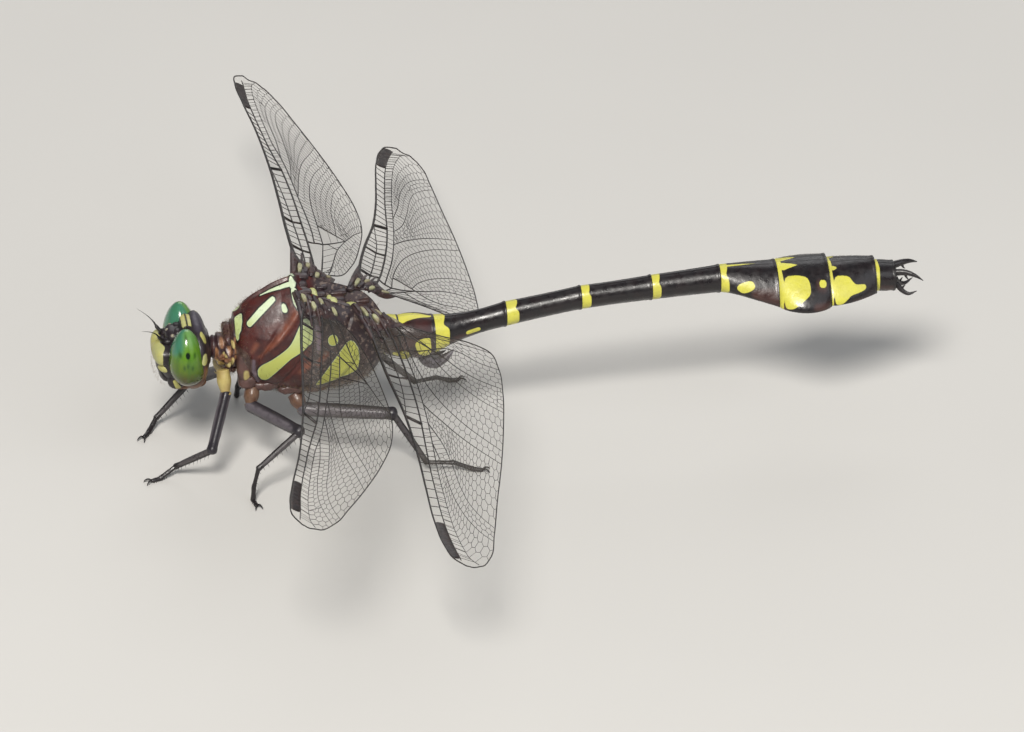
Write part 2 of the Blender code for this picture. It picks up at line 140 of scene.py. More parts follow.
# A wing is: root of its front edge, the way from there to its tip, and its slope to the rear.
WINGS = {
    "fore_left": ((10.0, -2.0, 16.1), (-5.75, -39.9, 2.2), 26.0),
    "fore_right": ((10.2, 2.0, 16.1), (-0.5, 40.9, -3.6), 28.0),
    "hind_left": ((15.0, -2.1, 14.4), (2.8, -39.6, -1.5), 17.0),
    "hind_right": ((15.0, 2.1, 14.4), (7.8, 38.1, -8.7), 26.0),
}
# Wing outlines: part of the wing's length, and millimetres behind its front line; the tip is at 1.
OUTLINES = {
    "fore": ((0.01, 0.05), (0.08, -0.3), (0.2, -0.3), (0.36, -0.05), (0.525, 0.1), (0.71, -0.1),
        (0.85, -0.6), (0.93, -0.75), (0.978, -0.45), (1.0, 0.45), (0.99, 1.9), (0.935, 3.4),
        (0.85, 4.6), (0.74, 6.0), (0.6, 7.5), (0.49, 8.3), (0.4, 8.35), (0.27, 7.3), (0.14, 5.6),
        (0.07, 4.1), (0.04, 2.4)),
    "hind": ((0.01, 0.05), (0.1, -0.2), (0.25, -0.2), (0.43, 0.1), (0.58, -0.1), (0.71, -0.5),
        (0.84, -0.85), (0.93, -0.75), (0.98, -0.25), (1.0, 0.6), (0.992, 2.0), (0.95, 3.2),
        (0.86, 4.3), (0.72, 5.8), (0.56, 7.6), (0.4, 9.2), (0.26, 10.4), (0.16, 10.9), (0.095, 10.6),
        (0.07, 9.0), (0.06, 6.5), (0.045, 4.2), (0.03, 2.2)),
}
# Long veins, in the same measure as the outlines. A last knot with no second number ends on the
# rear margin. The radius is in millimetres at the root and at the end.
VEINS = {
    "fore": {
        "subcosta": (((0.005, 0.55), (0.06, 0.78), (0.14, 0.85), (0.25, 0.85), (0.43, 0.68),
            (0.523, 0.14)), 0.085, 0.06),
        "radius": (((0.0, 1.15), (0.06, 1.5), (0.14, 1.65), (0.28, 1.62), (0.45, 1.55), (0.54, 1.38),
            (0.6, 1.1), (0.67, 0.78), (0.73, 0.58), (0.8, 0.35), (0.87, 0.2), (0.94, 0.25),
            (0.982, 0.25)), 0.12, 0.06),
        "stem": (((0.0, 1.85), (0.03, 2.1), (0.12, 2.75), (0.205, 3.32)), 0.11, 0.07),
        "arculus": (((0.188, 1.64), (0.196, 2.45), (0.205, 3.32)), 0.08, 0.08),
        "sector": (((0.196, 2.45), (0.25, 2.55), (0.32, 2.5), (0.42, 2.27), (0.5, 2.08), (0.6, 1.72),
            (0.66, 1.36), (0.73, 1.14), (0.8, 0.96), (0.87, 0.86), (0.93, 0.95), (0.97, 1.2),
            (0.992, None)), 0.075, 0.035),
        "second": (((0.6, 1.72), (0.69, 1.8), (0.8, 1.66), (0.87, 1.9), (0.92, 2.6), (0.945, None)),
            0.05, 0.03),
        "between": (((0.5, 2.08), (0.575, 2.52), (0.716, 2.62), (0.8, 2.52), (0.85, 2.78), (0.89, 3.4),
            (0.908, None)), 0.05, 0.03),
        "third": (((0.42, 2.27), (0.471, 2.62), (0.529, 3.0), (0.6, 3.65), (0.64, 4.2), (0.7, 5.25),
            (0.745, None)), 0.055, 0.032),
        "media": (((0.205, 3.32), (0.3, 3.36), (0.387, 3.38), (0.46, 3.62), (0.524, 4.1), (0.6, 5.1),
            (0.65, 6.05), (0.69, None)), 0.065, 0.032),
        "triangle_out": (((0.299, 3.36), (0.287, 4.6), (0.274, 5.94)), 0.07, 0.06),
        "triangle_in": (((0.205, 3.32), (0.235, 4.55), (0.274, 5.94)), 0.07, 0.06),
        "rear_media": (((0.282, 5.1), (0.33, 5.25), (0.4, 5.36), (0.463, 5.8), (0.531, 6.5),
            (0.59, None)), 0.05, 0.03),
        "cubitus": (((0.274, 5.94), (0.3, 6.5), (0.33, 7.15), (0.365, None)), 0.055, 0.035),
        "anal": (((0.01, 2.25), (0.05, 2.9), (0.12, 3.75), (0.207, 4.75), (0.274, 5.94)), 0.075, 0.055),
        "brace": (((0.207, 4.75), (0.218, 3.85)), 0.045, 0.045),
    },
    "hind": {
        "subcosta": (((0.005, 0.55), (0.05, 0.8), (0.12, 0.92), (0.2, 0.95), (0.33, 0.8),
            (0.428, 0.14)), 0.085, 0.06),
        "radius": (((0.0, 1.1), (0.05, 1.5), (0.094, 1.68), (0.2, 1.8), (0.33, 1.68), (0.436, 1.42),
            (0.52, 1.1), (0.62, 0.7), (0.72, 0.38), (0.8, 0.15), (0.87, 0.08), (0.94, 0.22),
            (0.982, 0.4)), 0.12, 0.06),
        "stem": (((0.0, 1.75), (0.03, 2.2), (0.078, 2.95)), 0.11, 0.08),
        "arculus": (((0.094, 1.68), (0.086, 2.3), (0.078, 2.95)), 0.08, 0.08),
        "sector": (((0.086, 2.3), (0.14, 2.36), (0.24, 2.45), (0.36, 2.28), (0.44, 2.02), (0.52, 1.7),
            (0.62, 1.28), (0.72, 0.98), (0.8, 0.8), (0.87, 0.76), (0.93, 0.95), (0.97, 1.25),
            (0.992, None)), 0.075, 0.035),
        "second": (((0.52, 1.7), (0.62, 1.9), (0.7, 1.84), (0.75, 1.95), (0.82, 2.5), (0.86, 3.25),
            (0.885, None)), 0.05, 0.03),
        "between": (((0.44, 2.02), (0.5, 2.6), (0.6, 2.82), (0.686, 2.82), (0.75, 3.1), (0.8, 3.85),
            (0.832, None)), 0.05, 0.03),
        "third": (((0.36, 2.28), (0.39, 2.75), (0.43, 3.55), (0.48, 4.7), (0.52, 5.9), (0.55, 7.0),
            (0.565, None)), 0.055, 0.032),
        "media": (((0.078, 2.95), (0.137, 2.85), (0.22, 2.98), (0.3, 3.48), (0.37, 4.4), (0.437, 5.8),
            (0.48, 7.1), (0.51, None)), 0.065, 0.032),
        "triangle_out": (((0.145, 2.87), (0.138, 3.95), (0.126, 5.06)), 0.07, 0.06),
        "triangle_in": (((0.078, 2.95), (0.098, 4.0), (0.126, 5.06)), 0.07, 0.06),
        "rear_media": (((0.13, 4.7), (0.17, 5.0), (0.22, 5.7), (0.27, 6.8), (0.315, 8.2),
            (0.345, None)), 0.05, 0.03),
        "cubitus": (((0.126, 5.06), (0.15, 5.9), (0.19, 7.0), (0.225, 8.6), (0.245, None)), 0.055,
            0.035),
        "anal": (((0.01, 2.2), (0.035, 2.75), (0.075, 3.75), (0.126, 5.06)), 0.075, 0.055),
        "loop": (((0.126, 5.06), (0.112, 6.2), (0.118, 7.6), (0.15, 9.2), (0.165, None)), 0.05, 0.032),
        "outer_anal": (((0.088, 4.05), (0.075, 5.2), (0.078, 7.0), (0.085, 8.6), (0.1, None)), 0.045,
            0.03),
    },
}
# Fields of cells between two veins: the vein chains on either side, how long a cell is, how wide a
# row may be, and the most rows. A number after a vein's name is where the chain starts on it.
FIELDS = {
    "fore": (
        (("radius@0.55",), ("sector@0.55",), 0.72, 2.0, 1),
        (("radius@0.20",), ("sector@0.20",), 1.1, 2.0, 1),
        (("sector@0.60",), ("second",), 0.66, 0.75, 3),
        (("sector@0.50", "second"), ("between",), 0.66, 0.75, 3),
        (("sector@0.42", "between@0.50"), ("third",), 0.62, 0.72, 5),
        (("sector@0.20", "third@0.42"), ("media",), 0.7, 0.9, 2),
        (("media@0.30",), ("triangle_out", "rear_media"), 0.66, 0.74, 4),
        (("rear_media",), ("cubitus",), 0.62, 0.72, 6),
        (("anal@0.05", "cubitus"), ("margin",), 0.72, 0.85, 4),
        (("stem",), ("anal",), 1.6, 2.5, 1),
        (("triangle_in",), ("triangle_out",), 1.1, 2.5, 1),
    ),
    "hind": (
        (("radius@0.44",), ("sector@0.44",), 0.72, 2.0, 1),
        (("radius@0.10",), ("sector@0.10",), 1.1, 2.0, 1),
        (("sector@0.52",), ("second",), 0.66, 0.75, 3),
        (("sector@0.44", "second@0.52"), ("between",), 0.66, 0.75, 3),
        (("sector@0.36", "between@0.44"), ("third",), 0.62, 0.7, 7),
        (("sector@0.10", "third@0.36"), ("media",), 0.66, 0.85, 2),
        (("media@0.145",), ("triangle_out", "rear_media"), 0.62, 0.72, 5),
        (("rear_media",), ("cubitus",), 0.58, 0.7, 6),
        (("cubitus",), ("loop",), 0.66, 0.72, 4),
        (("loop",), ("outer_anal",), 0.66, 0.8, 3),
        (("outer_anal",), ("margin",), 0.8, 0.95, 2),
        (("stem",), ("anal",), 1.2, 2.5, 1),
        (("triangle_in",), ("triangle_out",), 1.1, 2.5, 1),
    ),
}
NODUS = {"fore": 0.523, "hind": 0.428}
STRONG_RUNGS = {"fore": (0.13, 0.272), "hind": (0.105, 0.262)}
WING_SPOT = {"fore": (0.825, 0.948), "hind": (0.838, 0.972)}
SPOT_SQUARENESS = 2.0 / 0.6
PLEAT_WIDTH = 0.85              # from the ridge of a wing's pleat to its furrow
# Radii of the net's rods, the plain and the strong rungs behind the front edge, and the nodus.
NET_RADIUS = 0.021
RUNG_RADIUS = 0.03
RUNG_SHEAR = 0.006              # how far a rung leans along the wing, as a part of its length
STRONG_RADIUS = 0.085
NODUS_RADIUS = 0.13
NET_SEEDS = {"fore": 17, "hind": 29}

# A leg is: socket in the body, hip, knee, ankle, arch of the foot, ball of the foot and toe.
LEGS = {
    "fore_left": ((2.98, -1.55, 8.15), (3.05, -2.0, 7.05), (1.4, -5.5, 3.65), (-1.5, -3.3, 0.95),
        (-2.3, -3.6, 0.5), (-2.9, -3.85, 0.2), (-3.6, -4.1, 0.18)),
    "fore_right": ((2.98, 1.55, 8.15), (3.05, 2.0, 7.05), (1.0, 5.9, 3.9), (-2.2, 4.9, 0.95),
        (-2.6, 4.4, 0.5), (-3.0, 3.85, 0.2), (-3.45, 3.15, 0.18)),
    "mid_left": ((5.3, -1.95, 6.9), (5.1, -2.45, 6.0), (8.8, -7.0, 5.8), (5.1, -7.9, 2.95),
        (4.65, -8.2, 1.3), (4.55, -8.5, 0.22), (4.75, -9.3, 0.18)),
    "mid_right": ((5.3, 1.95, 6.9), (5.1, 2.45, 6.0), (8.8, 7.0, 5.8), (5.6, 8.1, 2.95),
        (5.3, 8.5, 1.3), (5.25, 8.85, 0.22), (5.45, 9.6, 0.18)),
    "hind_left": ((9.2, -1.95, 6.0), (9.6, -2.5, 5.3), (17.1, -4.8, 5.6), (19.9, -5.6, 0.95),
        (22.2, -5.95, 0.95), (23.8, -6.15, 0.3), (24.6, -6.25, 0.18)),
    "hind_right": ((9.2, 1.95, 6.0), (9.6, 2.5, 5.3), (16.9, 6.3, 5.4), (20.7, 7.8, 0.95),
        (22.6, 8.35, 0.9), (23.8, 8.7, 0.3), (24.6, 8.9, 0.18)),
}
THIGH_RADII = {"fore": (0.5, 0.45), "mid": (0.55, 0.48), "hind": (0.6, 0.5)}
SHIN_RADII = (0.28, 0.22)
FOOT_RADIUS = 0.17
SPINE_RADIUS = 0.032
FIRST_LEG_SEED = 40
HAIR_SEED = 5
# A claw, from the toe: along the foot, aside and up.
CLAW_PATH = ((0.0, 0.0, 0.0), (0.28, 0.17, 0.16), (0.58, 0.3, 0.02), (0.66, 0.33, -0.14))
CLAW_RADII = (0.1, 0.085, 0.05, 0.012)

# The camera looks at a point right of the head's middle and a little below it, in metres.
HEAD_MIDDLE = (0.0, 0.0, 10.5)
AIM_RIGHT = 0.02778
AIM_DOWN = 0.00137
SENSOR_WIDTH = 36.0

LOW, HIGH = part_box("thorax")
SHIFT = np.array([LOW.x / MM - THORAX_START, 0.5 * (LOW.y + HIGH.y) / MM, 0.0])

# ---------------------------------------------------------------- markings
# A stroke is a chain of balls: place along the body, distance from its middle plane, height, radius.
# An outline is FLANK and its corners: place along the body and height, seen square from the side.
TOP = (1.0, 1.0, 0.3)           # strokes on the back ignore most of the height
SIDE = (1.0, 0.3, 1.0)          # strokes on the flank ignore most of the width
FRONT = (0.4, 1.0, 1.0)         # strokes on a front face ignore most of the place
SLANT = (1.0, 0.6, 1.0)         # strokes on the shoulder ignore some of the width
FLANK = "flank"
THORAX_MARKS = {
    "mint": (
        (FRONT, ((4.45, 0.7, 13.85, 0.26), (4.4, 1.1, 13.5, 0.33), (4.4, 1.48, 13.0, 0.32),
            (4.4, 1.75, 12.4, 0.19), (4.4, 1.82, 12.0, 0.05))),
        (SLANT, ((5.2, 1.8, 13.75, 0.22), (6.2, 1.62, 14.8, 0.25), (7.25, 1.38, 15.72, 0.23))),
        (TOP, ((6.3, 0.36, 15.6, 0.04), (7.1, 0.46, 16.0, 0.11), (8.0, 0.58, 16.4, 0.17),
            (8.75, 0.64, 16.7, 0.24))),
        (TOP, ((9.0, 0.25, 16.8, 0.18), (9.05, 0.62, 16.75, 0.3), (9.05, 0.95, 16.7, 0.22))),
        (SLANT, ((9.1, 1.35, 16.4, 0.24), (9.2, 1.72, 16.1, 0.32), (9.3, 2.05, 15.65, 0.32),
            (9.38, 2.25, 15.3, 0.2))),
        (SIDE, ((8.12, 2.35, 15.34, 0.22), (8.17, 2.4, 15.12, 0.24))),
        (FLANK, ((5.8, 9.7), (5.82, 9.05), (6.15, 8.52), (6.5, 8.55), (6.9, 9.15), (7.6, 10.1),
            (8.45, 11.12), (8.95, 11.45), (9.35, 11.72), (9.8, 12.05), (10.3, 12.45), (10.42, 13.2),
            (10.36, 14.1), (10.05, 14.6), (9.7, 14.5), (9.35, 13.95), (8.9, 13.05), (8.4, 12.2),
            (7.55, 11.45), (6.7, 10.75), (6.1, 10.3))),
        (SIDE, ((12.15, 3.3, 12.5, 0.42), (12.2, 3.3, 12.36, 0.42))),
        (FLANK, ((10.75, 7.65), (12.0, 8.1), (13.0, 8.45), (14.25, 8.95), (14.45, 10.0), (14.38, 11.3),
            (13.95, 12.05), (13.5, 12.15), (12.95, 11.45), (12.2, 10.35), (11.5, 9.25), (10.9, 8.15))),
    ),
    "tan": ((SIDE, ((5.25, 2.65, 11.5, 0.1), (5.7, 2.9, 12.3, 0.16))), (SIDE, ((5.9, 3.0, 11.15, 0.06),
        (6.6, 3.3, 12.1, 0.14), (7.4, 3.5, 12.85, 0.2), (8.1, 3.5, 13.75, 0.26),
        (8.7, 3.3, 14.55, 0.3), (9.3, 3.05, 15.3, 0.22))), (SIDE, ((10.9, 3.5, 10.4, 0.22),
        (11.5, 3.5, 11.2, 0.24))), (SIDE, ((9.4, 3.3, 9.6, 0.2), (10.0, 3.4, 10.3, 0.3)))),
    "bloom": (
        (SIDE, ((5.38, 2.8, 10.75, 0.14), (5.4, 2.5, 9.5, 0.2), (5.75, 2.2, 8.3, 0.18))),
        (SIDE, ((10.75, 3.3, 14.6, 0.18), (10.95, 3.5, 12.9, 0.24), (10.9, 3.6, 11.6, 0.16))),
    ),
    "earth": ((FLANK, ((3.7, 11.7), (4.6, 11.6), (5.15, 10.8), (5.2, 8.8), (5.9, 7.9), (7.5, 7.5),
        (9.5, 7.6), (10.6, 7.1), (14.6, 8.0), (15.6, 9.2), (15.6, 4.0), (3.7, 4.0))),),
}
NECK_MARKS = {
    "yellow": ((SIDE, ((3.05, 1.6, 10.68, 0.15), (3.15, 1.6, 10.6, 0.15))), (SIDE,
        ((2.55, 1.0, 9.75, 0.2), (2.85, 1.2, 9.4, 0.26))), (SIDE, ((3.25, 1.6, 9.45, 0.16),
        (3.55, 1.8, 9.75, 0.2), (3.75, 1.9, 10.35, 0.12))), (SIDE, ((3.75, 1.6, 11.9, 0.12),
        (3.85, 1.6, 11.5, 0.14)))),
    "tan": ((SIDE, ((2.9, 0.9, 12.15, 0.14), (2.88, 1.2, 11.45, 0.22), (2.9, 1.3, 11.2, 0.12))), (SIDE,
        ((2.4, 0.8, 10.9, 0.2), (2.45, 0.7, 9.9, 0.28))), (SIDE, ((2.9, 1.4, 10.3, 0.3),
        (3.5, 1.8, 10.2, 0.3))), (SIDE, ((3.45, 1.8, 11.4, 0.18), (3.55, 1.8, 10.9, 0.2))), (SIDE,
        ((4.0, 1.6, 12.2, 0.1), (4.05, 1.8, 10.4, 0.16)))),
}
# A groove or ridge is: the weights of its distances, its height, its width and its course.
THORAX_GROOVES = (
    (SIDE, 0.14, 0.13, ((5.6, 2.7, 9.4), (6.1, 3.2, 11.5), (7.4, 3.5, 13.5), (8.6, 3.3, 15.0),
        (9.2, 2.6, 16.1))),
    (SIDE, 0.16, 0.15, ((7.6, 3.0, 8.0), (9.0, 3.6, 10.2), (10.1, 3.7, 12.2), (10.5, 3.4, 14.3),
        (10.6, 2.8, 15.3))),
    (SIDE, 0.16, 0.15, ((9.6, 2.4, 7.0), (11.2, 3.4, 9.3), (12.6, 3.4, 11.4), (13.4, 3.1, 13.0),
        (13.8, 2.6, 14.0))),
    (SIDE, 0.12, 0.12, ((11.4, 2.0, 6.9), (13.2, 2.9, 8.6), (14.8, 2.8, 10.8), (15.4, 2.5, 12.4))),
)
THORAX_RIDGES = (
    (TOP, 0.26, 0.16, ((4.9, 0.0, 14.2), (6.5, 0.0, 16.0), (8.4, 0.0, 16.8), (9.0, 0.0, 16.9))),
    (TOP, 0.2, 0.2, ((9.05, 0.0, 17.1), (9.15, 0.9, 17.0), (9.2, 1.8, 16.6))),
    (SIDE, 0.16, 0.22, ((6.72, 3.4, 11.95), (7.7, 3.5, 13.0), (8.5, 3.45, 13.95), (9.2, 3.2, 14.9))),
    (SIDE, 0.18, 0.24, ((5.4, 2.8, 10.9), (5.45, 2.5, 9.5), (5.9, 2.2, 8.2))),
    (SIDE, 0.2, 0.35, ((10.3, 3.2, 15.0), (10.9, 3.5, 13.2), (11.0, 3.6, 11.6))),
    (SIDE, 0.12, 0.25, ((12.6, 3.3, 8.6), (13.8, 3.2, 10.4), (14.4, 3.0, 12.0))),
)
HEAD_MARKS = {
    "yellow": ((SIDE, ((1.05, 2.1, 13.15, 0.14), (1.38, 2.5, 12.72, 0.2), (1.66, 2.6, 12.25, 0.12))),
        (SIDE, ((1.2, 3.5, 11.68, 0.22), (1.18, 3.55, 11.22, 0.3)))),
    "brown": ((SIDE, ((-0.6, 2.1, 7.9, 0.35), (0.3, 2.3, 7.9, 0.45), (0.9, 2.6, 8.7, 0.4),
        (1.25, 2.9, 9.8, 0.3), (1.2, 3.4, 10.7, 0.12))),),
    # The nape's purple-grey patch is a painted highlight.
    "bloom": ((TOP, ((0.95, 0.0, 13.5, 0.5), (1.0, 1.4, 13.3, 0.5), (1.05, 2.0, 13.0, 0.2))),),
}
ABDOMEN_MARKS = {
    "yellow": (
        (TOP, ((16.6, 0.0, 11.9, 1.25), (17.2, 0.0, 11.9, 1.12), (18.4, 0.0, 12.0, 0.8),
            (20.1, 0.0, 12.2, 0.34), (21.0, 0.0, 12.2, 0.1))),
        (FLANK, ((19.45, 10.55), (19.75, 10.85), (20.3, 10.93), (20.72, 10.9), (20.8, 10.4),
            (20.8, 9.1), (20.45, 8.95), (19.85, 9.35), (19.62, 9.95))),
        (SIDE, ((17.8, 1.6, 9.5, 0.26), (18.6, 1.6, 9.1, 0.34))),
        (SIDE, ((24.15, 1.0, 10.82, 0.2), (25.0, 0.95, 11.05, 0.2))),
        (TOP, ((46.4, 0.0, 15.1, 0.16), (49.4, 0.0, 15.3, 0.04))),
        (FLANK, ((47.27, 13.7), (47.5, 14.02), (48.3, 14.22), (48.65, 14.18), (48.8, 13.86),
            (48.5, 13.62), (47.75, 13.32))),
        (TOP, ((51.45, 0.62, 15.2, 0.44), (52.0, 0.62, 15.2, 0.26), (52.75, 0.66, 15.2, 0.02))),
        (FLANK, ((51.3, 14.45), (52.5, 14.55), (53.35, 14.42), (53.45, 13.95), (53.38, 13.55),
            (52.6, 13.1), (51.8, 12.55), (51.2, 12.45))),
        (SIDE, ((54.52, 2.7, 14.06, 0.24), (54.68, 2.7, 14.04, 0.24))),
        (TOP, ((55.75, 0.95, 15.0, 0.26), (56.2, 0.95, 15.0, 0.03))),
        (FLANK, ((55.6, 14.2), (56.9, 14.15), (57.25, 13.75), (57.5, 13.55), (58.3, 13.48),
            (58.36, 13.22), (57.9, 13.08), (57.0, 13.0), (56.5, 12.6), (56.05, 12.25), (55.6, 12.4))),
    ),
    "red": (
        (SIDE, ((22.5, 1.2, 10.1, 0.3), (23.3, 1.1, 10.3, 0.34), (24.3, 1.0, 10.6, 0.16))),
        (SIDE, ((48.9, 2.0, 13.3, 0.4), (49.9, 2.4, 13.1, 0.65), (50.7, 2.8, 12.9, 0.9))),
        (SIDE, ((53.9, 3.9, 12.6, 0.3), (55.0, 3.4, 12.4, 0.45))),
        (SIDE, ((54.35, 2.7, 13.95, 0.34), (54.65, 2.7, 13.8, 0.3))),
        (SIDE, ((57.4, 2.8, 12.2, 0.3), (58.8, 2.0, 12.2, 0.3))),
        (SIDE, ((59.9, 1.5, 12.45, 0.34), (60.6, 1.4, 12.3, 0.38))),
    ),
}
# Yellow bands round the rings: where a band starts and ends, how far its rear edge draws in at the
# shoulder, and how far at the foot.
RING_BANDS = {3: (21.3, 22.52, 0.5, 0.7), 4: (27.52, 28.52, 0.27, 0.25), 5: (33.98, 34.76, 0.14, 0.15),
    6: (39.98, 40.82, 0.14, 0.15), 7: (45.86, 46.64, 0.14, 0.25), 8: (50.6, 51.26, 0.0, 0.14),
    9: (54.95, 55.6, 0.0, 0.14), 10: (59.36, 59.74, 0.0, 0.08)}


# ---------------------------------------------------------------- surfaces
LID_TURNS = (0.45, 0.9, 1.3)    # angles of the rings that close a solid's end
# Back along the body and up, as rows that multiply many places at once.
AHEAD = [[1.0, 0.0, 0.0]]
UPRIGHT = [[0.0, 0.0, 1.0]]


def curve_through(knots, values, at):
    """A smooth curve through values at the knots: each span is the cubic that leaves and arrives
    with the slope between the neighbouring knots."""
    knots, values, at = np.asarray(knots, float), np.asarray(values, float), np.asarray(at, float)
    slopes = np.gradient(values, knots, axis=0)
    i = np.clip(np.searchsorted(knots, at, side="right") - 1, 0, len(knots) - 2)
    width = knots[i + 1] - knots[i]
    t = np.clip((at - knots[i]) / width, 0.0, 1.0)
    if values.ndim > 1:
        width, t = width[:, None], t[:, None]
    rise = t * t * (3.0 - 2.0 * t)
    leave, arrive = t * (1.0 - t) ** 2 * width, -t * t * (1.0 - t) * width
    return values[i] * (1.0 - rise) + values[i + 1] * rise + slopes[i] * leave + slopes[i + 1] * arrive


def run_along(points):
    """How far along a line each of its points lies: the steps up to it, added together."""
    return np.concatenate([[0.0], np.cumsum(np.linalg.norm(np.diff(points, axis=0), axis=1))])


def path_through(points, count):
    """Evenly spaced points of the smooth curve through a few points."""
    points = np.asarray(points, float)
    knots = run_along(points[:, :3])
    return curve_through(knots, points, np.linspace(0.0, knots[-1], count))


def unit(vectors):
    """Vectors of length 1, the same way."""
    return vectors / (np.linalg.norm(vectors, axis=-1, keepdims=True) + 1e-12)


def bell(value, middle, width):
    """A bell: exp(-((value - middle) / width)^2)."""
    return np.exp(-((value - middle) / width) ** 2)


def rising(value, start, width):
    """0 up to the start, 1 from a width past it, and straight between; a width below zero makes
    it fall with the value."""
    return np.clip((value - start) / width, 0.0, 1.0)


def turns(count):
    """Angles evenly round a ring."""
    return np.linspace(0.0, tau, count, endpoint=False)


def wave(base, power):
    """A cosine or sine raised to a power, with its sign kept."""
    return np.sign(base) * np.abs(base) ** power


def superellipse(power, count):
    """Across and up round a superellipse: cos(a)^(2/p) and sin(a)^(2/p)."""
    angle = turns(count)[None, :]
    return wave(np.cos(angle), 2.0 / power), wave(np.sin(angle), 2.0 / power)


def body_grid(table, places, count):
    """Superellipses across the body at the given places. Half width, rise and drop follow smooth
    curves through the stations."""
    table = np.asarray(table, float)
    height, width, rise, drop, power = curve_through(table[:, 0], table[:, 1:6], places).T[:, :, None]
    across, upward = superellipse(power, count)
    z = height + np.where(upward > 0.0, rise, drop) * upward
    x = np.asarray(places, float)[:, None] + 0.0 * across
    return np.stack([x, width * across, z], axis=2)


def ease(start, end, count):
    """Places from start to end, close together at both ends: the cosine of an even angle."""
    return start + (end - start) * 0.5 * (1.0 - np.cos(np.linspace(0.0, pi, count)))


def lump_grid(middle, radii, rows, count, power):
    """A superellipsoid: along is cos(t)^(2/p), and the rest is sin(t)^(2/p) times a superellipse."""
    t = np.linspace(0.04, pi - 0.04, rows)[:, None]
    across, upward = superellipse(power, count)
    along, ring = -wave(np.cos(t), 2.0 / power), wave(np.sin(t), 2.0 / power)
    shape = np.stack([along + 0.0 * across, ring * across, ring * upward], axis=2)
    return np.asarray(middle) + shape * np.asarray(radii)


def grid_normals(grid):
    """Unit normals of a grid whose columns close round: along the rows times round the columns."""
    along = np.gradient(grid, axis=0)
    around = np.roll(grid, -1, axis=1) - np.roll(grid, 1, axis=1)
    normals = unit(np.cross(along, around))
    outward = ((grid - grid.mean(axis=1, keepdims=True)) * normals).sum()
    return normals * np.sign(outward)


def lifted(grid, height):
    """A grid raised along its normals."""
    return grid + height[..., None] * grid_normals(grid)


def grid_faces(rows, count, wrap):
    """Quads between neighbouring points of a grid; wrap joins its last column to its first."""
    row = np.arange(rows - 1)[:, None] * count
    column = np.arange(count if wrap else count - 1)[None, :]
    after = (column + 1) % count
    corners = [row + column, row + after, row + count + after, row + count + column]
    return np.stack(corners, axis=2).reshape(-1, 4)


def closed(grid, nose=0.0, tail=0.0):
    """A solid from a grid whose columns close round: each end runs in over two smaller rings to a
    pole, bulging by nose or tail."""
    lids, poles = [], []
    for end, beside, push in ((0, 1, nose), (-1, -2, tail)):
        ring = grid[end]
        middle = ring.mean(axis=0)
        way = unit(middle - grid[beside].mean(axis=0)) * push
        lids.append(np.stack([middle + (ring - middle) * cos(a) + way * sin(a) for a in LID_TURNS]))
        poles.append(middle + way)
    grid = np.concatenate([lids[0][::-1], grid, lids[1]])
    rows, count = grid.shape[:2]
    ring = np.arange(count)
    after = np.roll(ring, -1)
    first, last = rows * count, rows * count + 1
    start = (rows - 1) * count
    fans = np.concatenate([
        np.stack([ring, np.full(count, first), after], axis=1),
        np.stack([start + ring, start + after, np.full(count, last)], axis=1)])
    return turned_out(np.concatenate([grid.reshape(-1, 3), poles]), [grid_faces(rows, count, True), fans])


def turned_out(points, faces):
    """A solid with its faces turned outwards: if they close a volume below zero, all are flipped."""
    volume = 0.0
    for group in faces:
        for k in range(1, group.shape[1] - 1):
            a, b, c = points[group[:, 0]], points[group[:, k]], points[group[:, k + 1]]
            volume += (a * np.cross(b, c)).sum()
    if volume < 0.0:
        faces = [group[:, ::-1] for group in faces]
    return {"points": points, "faces": faces, "values": {}}


def rings(across, upward, count):
    """A ring at each of many places: cos(a) of the place's first axis and sin(a) of its second."""
    angle = turns(count)[None, :, None]
    return across[:, None] * np.cos(angle) + upward[:, None] * np.sin(angle)


def spread(radius, count):
    """One radius, or one for each of many rings, shaped to multiply the rings."""
    return np.broadcast_to(np.asarray(radius, float), (count,))[:, None, None]


def tube(path, radii, count=10, flat=1.0, lean=(0.0, 0.0, 1.0)):
    """A round profile carried along a path: at each point a ring square to the path, as wide as its
    radius; flat squeezes it along lean."""
    path = np.asarray(path, float)
    way = unit(np.gradient(path, axis=0))
    across = unit(np.cross(way, np.asarray(lean, float)))
    upward = np.cross(across, way)
    return path[:, None] + spread(radii, len(path)) * rings(across, flat * upward, count)


def tapering(path, radii, rows, count, swell=1.0, **shape):
    """A tube along the smooth curve through a few points, its radius following their radii."""
    line = path_through(np.column_stack([path, radii]), rows)
    return tube(line[:, :3], line[:, 3] * swell, count, **shape)


def repeated(points, quads, fans):
    """Many like solids as one: each row of points has the same quads and triangles."""
    offset = (np.arange(len(points)) * points.shape[1])[:, None, None]
    faces = [(offset + quads).reshape(-1, 4), (offset + fans).reshape(-1, 3)]
    return turned_out(points.reshape(-1, 3), faces)


def rods(starts, ends, radius, count=4):
    """Many short straight rods at once: a ring near each end, square to the rod, and a tip past it."""
    way = unit(ends - starts)
    across = unit(np.cross(way, np.where(np.abs(way[:, 2:3]) > 0.9, AHEAD, UPRIGHT)))
    ring = rings(across, np.cross(across, way), count)
    radius = spread(radius, len(starts))
    points = np.concatenate([
        starts[:, None] + radius * ring, ends[:, None] + radius * ring,
        (starts - way * radius[:, 0])[:, None], (ends + way * radius[:, 0])[:, None]], axis=1)
    ring, after = np.arange(count), np.roll(np.arange(count), -1)
    sides = np.stack([ring, after, after + count, ring + count], axis=1)
    caps = np.concatenate([
        np.stack([after, ring, np.full(count, 2 * count)], axis=1),
        np.stack([ring + count, after + count, np.full(count, 2 * count + 1)], axis=1)])
    return repeated(points, sides, caps)


